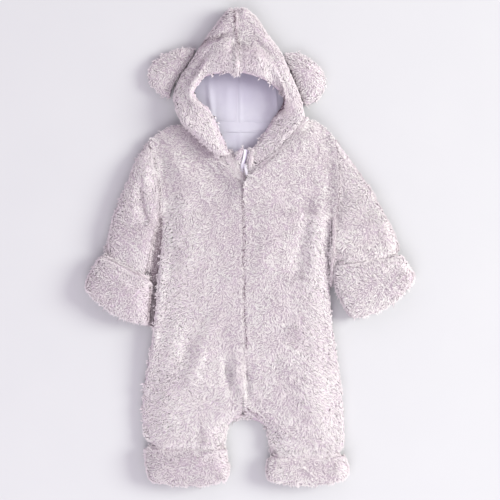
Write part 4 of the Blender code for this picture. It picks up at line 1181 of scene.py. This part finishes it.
# Each fold or ridge is its height, half its width, and the points of its line
SEAM_RIDGES = (
    (7, 9, (-122, 30), (-125, -20), (-131, -80), (-138, -140), (-146, -200)),
    (3, 9, (111, 20), (108, -30), (113, -90), (122, -160), (129, -210)),
    (9, 8, (30, -301), (85, -302), (137, -299)),
    (10, 9, (-36, -287), (-90, -288), (-150, -286)),
    (6.5, 11, (-46, 124), (-26, 104), (-15, 86), (-13, 66)),
    (-4.5, 3.6, (-31, -150), (-34, -182), (-25, -218)),
    (3.5, 6, (-20, -148), (-17, -202)),
    (-4, 3.6, (-5, -170), (1, -232)),
    (4, 9, (-65, -140), (-86, -196)),
    (-3.5, 8, (-86, -124), (-93, -168)),
    (-2, 4, (-93, -221), (-28, -220)),
    (-4, 3.6, (-152, -262), (-146, -276), (-134, -291)),
    (-2.5, 3, (-75, -259), (-70, -281), (-76, -291)),
    (6, 11, (-146, 150), (-136, 112), (-128, 60), (-127, 44)),
    (6, 11, (122, 154), (130, 112), (130, 70), (122, 34)),
)


# The sleeves rise to the rims of their turned-up ends
CUFF_RISES = (
    (11.5, 12, (120, -22), (170, -13), (214, -7)),
    (4, 9, (-142, -45), (-176, -29), (-211, -10)),
)


ARMHOLE_FADE = 14.0
# How much farther from the outline the pile counts as being where it closes over a seam
CLOSING = SimpleNamespace(armhole=7.0, zip=2.4, shoulder=3.0)
CROTCH_FADE = 10.0


def at_armhole(y, armhole):
    """1 along the armhole and 0 along the side seam."""
    return smooth((y - armhole.end[1]) / ARMHOLE_FADE)


def beside_seams(near, y, side):
    """The distances from the outline, longer at the seams: the pile closes over them."""
    return SimpleNamespace(
        outer=near.outer + CLOSING.armhole * at_armhole(y, side.armhole),
        inner=near.inner + CLOSING.zip * (1 - smooth((CROTCH_Y + CROTCH_FADE - y) / CROTCH_FADE)),
        start=near.start + CLOSING.shoulder,
        end=near.end,
    )


# Stitched lines, where painted shade darkens the pile's colour in dashes, standing in for the shadows of a
# parted seam: their height is how dark it is painted there
SEAM_SHADE_LINES = (
    (1.4, 1.7, (-9.5, 90), (-8.6, 60), (-7.5, 0), (-6.5, -60)),
    (1.6, 1.7, (-6.5, -40), (-6, -90), (-5, -140)),
    (0.9, 1.6, (-5, -120), (-4, -150), (-2, -188)),
    (2, 2, (-2, -230), (4, -236), (13, -243)),
    (1.2, 1.3, (-20, -242), (-9, -238.5), (2, -236.5)),
    (2.3, 2, (-21, 336), (-19, 318), (-16, 284)),
)
# Painted shade: where the pile of a piece is coloured darker, as if in the shade of the piece beside it, a
# crease or an edge; below 0, painted light, where it is coloured lighter
SHADES = {
    "pile_sleeve_right": (
        (0.6, 2.2, (-156, 94), (-155, 68), (-151, 46), (-141, 30)),
        (0.45, 13, (-127, 70), (-136, 0), (-144, -40), (-149, -62)),
    ),
    "pile_leg_cuff_right": ((0.1, 30, (-150, -310), (-30, -312)),),
    "pile_sleeve_cuff_right": (
        (0.08, 30, (-214, -44), (-160, -72)),
        (0.4, 9, (-150, -50), (-146, -80), (-148, -118)),
    ),
    "pile_front_right": (
        (-0.25, 12, (-114, 50), (-116, -90)),
        (0.4, 5, (-13, -178), (-8, -216)),
        (0.5, 8, (-96, 176), (-86, 162), (-70, 147), (-50, 134), (-34, 124)),
    ),
    "pile_hood_right": (
        (0.5, 4, (-76, 284), (-66, 292), (-54, 298), (-40, 302), (-22, 306)),
        (0.3, 24, (-50, 262), (-18, 268)),
        (0.4, 6, (-100, 262), (-112, 232)),
        (-0.2, 10, (-98, 214), (-84, 176)),
    ),
    "pile_hood_left": (
        (0.3, 24, (-18, 268), (14, 264)),
        (0.14, 14, (0, 274), (34, 258)),
        (0.7, 14, (44, 222), (50, 200), (42, 186)),
    ),
    "pile_sleeve_left": (
        (-0.2, 40, (140, 120), (160, 60), (176, -6)),
        (0.5, 7, (132, 152), (165, 100), (190, 60), (205, 28), (214, 0)),
    ),
    "pile_sleeve_cuff_left": ((0.3, 6, (212, -8), (230, -20), (237, -34), (226, -54)),),
    "pile_front_left": ((0.3, 7, (134, -140), (141, -220), (147, -296)),),
    "pile_leg_cuff_left": ((0.3, 6, (142, -296), (148, -312), (142, -330)),),
}
# How far the shading directions of a whole piece's pile are turned to the sides and up the garment
PILE_LEANS = {
    "pile_front_left": (0.04, 0.0),
    "pile_sleeve_left": (0.4, 0.0),
    "pile_sleeve_cuff_left": (0.24, 0.0),
    "pile_leg_cuff_left": (0.22, 0.0),
    "pile_sleeve_right": (-0.1, 0.0),
    "pile_sleeve_cuff_right": (-0.06, 0.0),
    "pile_leg_cuff_right": (-0.15, 0.0),
    "pile_ear_front_right": (0.16, 0.0),
    "pile_ear_front_left": (0.08, 0.0),
}
INSET = 4.2  # how far the cloth stays inside its piece's edges: the pile fills the rest
ARMHOLE_INSET = 1.0
ZIP_INSET = 0.7
LEG_INSET = 3.6
EAR_STEPS = PANEL_STEPS[:4]
GUARD_PILE = 4.5
LEAST_CREST = -0.4  # no fold goes deeper into the lining
# Rows and columns of points
FRONT_GRID = (72, 28)
BACK_GRID = (48, 20)
EAR_FRONT_GRID = (26, 16)
EAR_BACK_GRID = (20, 14)
GUARD_GRID = (24, 12)
BACK_LINING_GRID = (40, 44)
SLEEVE_ROWS = 36
SLEEVE_CUFF_ROWS = 18
LEG_CUFF_ROWS = 16


def inner_inset(y):
    """The same at the inner edge of a front or a back: little at the neck and the zip, more at the leg."""
    return ZIP_INSET + (LEG_INSET - ZIP_INSET) * smooth((CROTCH_Y - y) / CROTCH_FADE)


HOOD_CREASES = (
    (-8, 4, (-76, 284), (-66, 292), (-54, 298), (-40, 302), (-22, 306)),
    (6, 8, (-78, 270), (-62, 282), (-42, 291), (-22, 294)),
    (-2.5, 8, (22, 280), (4, 286), (-12, 292)),
    (2, 9, (24, 264), (4, 272), (-12, 276)),
)
LINING_FOLDS = (
    (0.7, 2.4, (-14, 250), (-13, 172)),
    (2.2, 3.5, (-60, 236), (-56, 205), (-52, 172)),
    (-0.4, 3, (-50, 232), (-47, 180)),
    (3, 2.6, (46, 228), (38, 215), (40, 200), (50, 193)),
    (1.6, 6, (30, 240), (22, 215), (8, 190)),
    (1.2, 6, (-34, 240), (-30, 200)),
)
BACK_LINING_FOLDS = (
    (1.6, 5, (-78, 168), (60, 168)),
    (0.8, 1.8, (-14, 168), (-14, 120)),
    (0.8, 4, (-40, 160), (-28, 138)),
)
NECK_SEAM = ((-76, 174, 10.9), (-40, 173, 11.0), (-18, 172.5, 11.2), (20, 173, 11.0), (58, 174, 10.9))

WELT_RADIUS = 2.4
RIM_WELT = 3.2
PEAK_WELT = 4.2
WELT_SIDES = 10
# Pile that stands up out of a seam or a gap, for each piece: how much shade is painted into its colour, half
# its width, and the points of its line
WELTS = {
    "front_left": (
        (0, 5, (84, 186, 25), (67, 161, 28), (48, 141, 28), (26, 121, 27), (8, 109, 26), (-2, 100, 22)),
        (0.3, 4.5, (123, 154, 12), (129, 120, 16), (130, 85, 17), (127, 55, 17), (122, 32, 16)),
        (0, 5, (28, -258, 9), (32, -270, 10), (34, -284, 10), (35, -300, 10)),
        (0, 4, (5, 141, 24), (3, 128, 25), (1, 116, 25), (-3, 103, 22)),
    ),
    "front_right": (
        (0, 8, (-37, 137, 17), (-28, 126, 19), (-20, 113, 20), (-14, 100, 20), (-10, 86, 20)),
        (0.3, 4.5, (-146, 149, 12), (-139, 120, 16), (-132, 85, 17), (-129, 60, 17), (-128, 42, 16)),
        (0, 5, (-33, -256, 9), (-39, -268, 10), (-41, -282, 10), (-41, -296, 10)),
        (0, 3, (-23, -247, 8), (-9, -244.5, 9), (7, -246, 8)),
    ),
    "sleeve_right": (
        (0, 4, (-196, 18, 12), (-201, 4, 12), (-206, -11, 12)),
        (0.2, 3.5, (-132, 42, 14), (-137, 26, 15), (-141, 9, 15), (-144, -20, 14), (-147, -38, 12)),
        (0.65, 9, (-126, 50, 12), (-129, 20, 12), (-134, -5, 12), (-138, -30, 11), (-143, -56, 8)),
        (0.55, 6, (-141, -48, 7), (-141, -75, 6), (-143, -100, 5), (-146, -114, 4)),
    ),
    "sleeve_left": (
        (0.2, 4, (202, 26, 12), (207, 9, 12), (213, -9, 13)),
        (0.1, 5, (113, -11, 18), (129, -14, 21), (148, -18, 23)),
        (0.15, 3.2, (122, 44, 19), (122, 20, 20.5), (121, -5, 20.5), (119, -32, 19), (117, -58, 14)),
    ),
}


def welt_cloth(line, radius):
    """Pile all round a thin cord, or a flat one."""
    return SimpleNamespace(
        outer=rings(line, radius, WELT_SIDES, WELT_RADIUS / radius),
        tips=rings(line, radius + PILE, WELT_SIDES, (WELT_RADIUS + PILE) / (radius + PILE)),
        around=True,
    )


def sunk(line, proud):
    """The line so deep that the welt's pile stands out over it by this much."""
    return line - [0, 0, WELT_RADIUS + PILE - proud]


def cuff_rim(cloth):
    """The upper half of the cuff's rim, sunk into it and moved towards the sleeve or leg."""
    first, second = cloth.tips[0], cloth.tips[2]
    upper = np.round(np.linspace(0.06, 0.44, 7) * len(first)).astype(int)
    return sunk(first[upper] + unit((first - second)[upper]) * 1.8, 0.6)


def peak_seam(cloth):
    """The seam of the hood, from over the peak to the face edge."""
    line = cloth.tips[0, HOOD_BACK + HOOD_ROUND // 2 :][::2]
    return sunk(line * [0, 1, 1] + [HOOD_SEAM_X, 0, 0], 2.6)


def zip_edge(cloth):
    """The edge along the zip, from below the slider to the crotch."""
    line = cloth.tips[:, -1]
    return sunk(line[(line[:, 1] < 100) & (line[:, 1] > CROTCH_Y)][::3], 0.5)


def armhole_inset(y, side):
    return INSET - (INSET - ARMHOLE_INSET) * at_armhole(y, side.armhole)


def seamed_top(x, y, near, low, side):
    return front_top(x, y, beside_seams(near, y, side), low, side)


def body_cloths():
    for side in (RIGHT, LEFT):
        front = cloth_above(
            body_edges(side.outer, side.front_inner),
            FRONT_GRID,
            partial(front_under, side=side),
            partial(seamed_top, side=side),
            SimpleNamespace(outer=partial(armhole_inset, side=side), inner=inner_inset, start=2.0, end=2.0),
            PANEL_STEPS,
            creases=SEAM_RIDGES,
        )
        back = cloth_below(
            body_edges(side.outer, side.back_inner),
            BACK_GRID,
            partial(back_under, side=side),
            partial(back_top, side=side),
            SimpleNamespace(outer=INSET, inner=inner_inset, start=2.5, end=2.0),
            PANEL_STEPS,
        )
        yield f"front_{side.name}", front
        yield f"back_{side.name}", back


def sleeve_cloths():
    for name, stations, rows, folds in (
        ("sleeve_right", SLEEVE_RIGHT, SLEEVE_ROWS, SLEEVE_FOLDS + CUFF_RISES),
        ("sleeve_left", SLEEVE_LEFT, SLEEVE_ROWS, SLEEVE_FOLDS + CUFF_RISES),
        ("sleeve_cuff_right", SLEEVE_CUFF_RIGHT, SLEEVE_CUFF_ROWS, SLEEVE_FOLDS),
        ("sleeve_cuff_left", SLEEVE_CUFF_LEFT, SLEEVE_CUFF_ROWS, SLEEVE_FOLDS),
        ("leg_cuff_right", LEG_CUFF_RIGHT, LEG_CUFF_ROWS, SLEEVE_FOLDS),
        ("leg_cuff_left", LEG_CUFF_LEFT, LEG_CUFF_ROWS, SLEEVE_FOLDS),
    ):
        yield name, tube_cloth(stations, rows, folds)


def ear_front_under(x, y, near):
    return np.full(x.shape, EAR_CLOTH + SEAM)


def ear_front_top(x, y, near, low):
    bulge = EAR_CROWN
    for edge, reach in vars(EAR_CROWN_REACH).items():
        bulge = bulge * smooth(getattr(near, edge) / reach)
    return low + EAR_CLOTH * (THIN_EDGE + (1 - THIN_EDGE) * rounding(near, EAR_FRONT_ROUNDING)) + bulge


def ear_back_under(x, y, near):
    return EDGE_RISE * (1 - rounding(near, EAR_BACK_ROUNDING))


def ear_back_top(x, y, near, low):
    return np.full(x.shape, EAR_CLOTH)


def ear_cloths():
    inset = SimpleNamespace(outer=INSET, inner=1.5, start=3.5, end=3.0)
    for side, edges in (("right", EAR_RIGHT_EDGES), ("left", EAR_LEFT_EDGES)):
        front = cloth_above(edges, EAR_FRONT_GRID, ear_front_under, ear_front_top, inset, EAR_STEPS)
        yield f"ear_front_{side}", front
        back = cloth_below(edges, EAR_BACK_GRID, ear_back_under, ear_back_top, inset, EAR_STEPS)
        yield f"ear_back_{side}", back


def guard_cloth():
    def under(x, y, near):
        return GUARD.low + (GUARD.high - GUARD.low) * smooth((y - GUARD.foot) / GUARD.length)

    def top(x, y, near, low):
        return low + GUARD.cloth * (THIN_EDGE + (1 - THIN_EDGE) * rounding(near, GUARD_ROUNDING))

    inset = SimpleNamespace(outer=1.5, inner=1.5, start=1.5, end=1.5)
    return cloth_above(ZIP_GUARD_EDGES, GUARD_GRID, under, top, inset, (0.0, 1.0, 2.0), GUARD_PILE)


def back_jersey():
    def under(x, y, near):
        return np.full(x.shape, UNDER_CLOTH + SEAM)

    def top(x, y, near, low):
        return low + LINING + relief(BACK_LINING_FOLDS, x, y)

    return flat_skins(BACK_LINING_EDGES, BACK_LINING_GRID, under, top, NO_INSET, (0.0, 3.0))


def tape_skins(side):
    t = ZIP_TAPE_EDGES
    near, far, z = {
        "right": (pair(t.outer_x, t.outer_y), pair(t.inner_x, t.inner_y), t.right_z),
        "left": (pair(t.left_x, t.left_y), pair(t.left_far_x, t.left_far_y), t.left_z),
    }[side]
    at = np.linspace(0, len(near) - 1, 40)
    near, far, height = through(near, at), through(far, at), through(z[:, None], at)
    share = np.linspace(0, 1, 8)[None, :, None]
    flat = near[:, None] * (1 - share) + far[:, None] * share
    top = np.concatenate([flat, np.repeat(height[:, None], 8, 1)], 2)
    return top, raised(top, -0.8), (far if side == "right" else near, height)


TOOTH_START = 0.8
TOOTH_PITCH = 1.5
TOOTH_SIDES = 8
TOOTH_ALONG = np.array([-1.1, -0.95, -0.4, 0.4, 0.95, 1.1])
TOOTH_RADIUS = np.array([0.0, 0.75, 1.0, 1.0, 0.75, 0.0]) * 0.5


def teeth(name, line, height, finish):
    """The coil's loops along a tape's edge: short rounded bars across it, one every pitch."""
    run = run_along(line)
    spots = np.arange(TOOTH_START, run[-1], TOOTH_PITCH)
    middle = np.stack([np.interp(spots, run, v) for v in (*line.T, height[:, 0])], 1)
    turn = np.linspace(0, 2 * np.pi, TOOTH_SIDES, endpoint=False)
    along, size = TOOTH_ALONG[:, None], TOOTH_RADIUS[:, None]
    bar = np.dstack([along + 0 * turn, size * np.cos(turn), size * np.sin(turn)]).reshape(-1, 3)
    faces = grid_faces(len(size), TOOTH_SIDES, True)[1] + (np.arange(len(spots)) * len(bar))[:, None, None]
    return closed_mesh(name, (middle[:, None] + bar).reshape(-1, 3), faces.reshape(-1, 4), finish)


def settle(piece, node, slot, *with_pieces):
    """The piece and what is on it move with the garment and stand for the node."""
    for ob in (piece, *with_pieces):
        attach(ob, "garment")
    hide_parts(node)


def welt_lines(node, cloth):
    """The welts of a piece, each as how much shade is painted into its pile, half its width, and the points
    of its line.
    """
    welts = list(WELTS.get(node, ()))
    if "cuff" in node:
        welts.append((0.0, RIM_WELT, *cuff_rim(cloth)))
    if node == "front_right":
        welts.append((0.0, WELT_RADIUS, *zip_edge(cloth)))
    if node == "hood_left":
        welts.append((0.0, PEAK_WELT, *peak_seam(cloth)))
    return welts


def make_cloths():
    cloths = dict([*body_cloths(), *sleeve_cloths(), *ear_cloths()])
    cloths["hood_right"] = hood_cloth(HOOD_RIGHT)
    cloths["hood_left"] = hood_cloth(HOOD_LEFT)
    cloths["zip_guard"] = guard_cloth()
    for node, cloth in cloths.items():
        piece = wall_mesh(f"cloth_{node}", cloth.outer, cloth.inner, BACKING, cloth.around)
        pieces = [fur(f"pile_{node}", cloth)]
        # A welt's first number is painted shade, which darkens its pile and its cord
        for k, (depth, radius, *line) in enumerate(welt_lines(node, cloth)):
            pieces.append(fur(f"seam_pile_{node}_{k}", welt_cloth(line, radius), depth))
            pieces.append(cord(f"seam_{node}_{k}", line, radius, PILE_FINISH, 8, WELT_RADIUS / radius))
            set_height_and_shade(pieces[-1], CORD_SHADED_HEIGHT - depth)
        settle(piece, node, "curly_fleece", *pieces)


def make_linings():
    skins = {side: hood_jersey(t) for side, t in (("right", HOOD_RIGHT), ("left", HOOD_LEFT))}
    middle = skins["right"][1][0, :-3] * [0, 1, 1] + [HOOD_SEAM_X, 0, -0.4]
    for side, (outer, inner) in skins.items():
        piece = wall_mesh(f"jersey_{side}", outer, inner, JERSEY)
        seams = [cord("hood_seam", middle, 2.6, JERSEY, flatness=0.22)] if side == "right" else []
        settle(piece, f"hood_lining_{side}", "jersey_lining", *seams)
    neck = cord("neck_seam", NECK_SEAM, 8.0, JERSEY, flatness=0.08)
    low, high = back_jersey()
    settle(wall_mesh("jersey_back", high, low, JERSEY), "back_lining", "jersey_lining", neck)


def make_zip():
    coil_finish = zip_teeth()
    for side in ("right", "left"):
        top, under, (line, height) = tape_skins(side)
        tape = wall_mesh(f"tape_{side}", top, under, TAPE_CLOTH)
        coil = teeth(f"coil_{side}", line, height - 0.2, coil_finish)
        settle(tape, f"zip_tape_{side}", "zip_tape", coil)
    metal = lacquer()
    for node in ("zip_slider", "zip_pull"):
        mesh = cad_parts[node].data
        mesh.materials.clear()
        mesh.materials.append(metal)


# ---------------------------------------------------------------- floor, light, camera

VIEW_CENTRE = (0.0007, -0.0051)  # in metres, as all lengths from here on
VIEW_HEIGHT = 2.2
VIEW_WIDTH = 0.725
SENSOR = 36.0
FLOOR_SIZE = 6.0
FLOOR_DROP = 0.0003


def area_light(name, place, size, power, tint):
    """A round lamp that is aimed at the garment."""
    data = bpy.data.lights.new(name, "AREA")
    data.shape = "DISK"
    data.size = size
    data.energy = power
    data.color = tint
    ob = bpy.data.objects.new(name, data)
    ob.rotation_mode = "QUATERNION"
    ob.rotation_quaternion = (-Vector(place)).to_track_quat("-Z", "Y")
    ob.location = place
    bpy.context.scene.collection.objects.link(ob)


def make_studio():
    corners = np.array([(-1, -1, 0), (1, -1, 0), (1, 1, 0), (-1, 1, 0)]) * FLOOR_SIZE / MM / 2
    floor = add_mesh("floor", corners - [0, 0, FLOOR_DROP / MM], np.array([(0, 1, 2, 3)]), pale_floor())
    area_light("key", (3.6, 0.55, 2.25), 2.1, 172.0, (0.99, 1.015, 0.955))
    area_light("fill", (-0.4, -1.6, 2.2), 2.4, 30.0, (0.97, 0.95, 1.0))
    scene = bpy.context.scene
    scene.world = bpy.data.worlds.new("studio")
    scene.world.use_nodes = True
    background = scene.world.node_tree.nodes["Background"]
    background.inputs["Color"].default_value = (0.985, 0.868, 1.03, 1.0)
    background.inputs["Strength"].default_value = 0.69
    data = bpy.data.cameras.new("camera")
    data.sensor_width = SENSOR
    data.lens = SENSOR * VIEW_HEIGHT / VIEW_WIDTH
    scene.camera = bpy.data.objects.new("camera", data)
    scene.camera.location = (*VIEW_CENTRE, VIEW_HEIGHT)
    scene.collection.objects.link(scene.camera)
    scene.view_settings.view_transform = "Standard"


make_cloths()
make_linings()
make_zip()
make_studio()
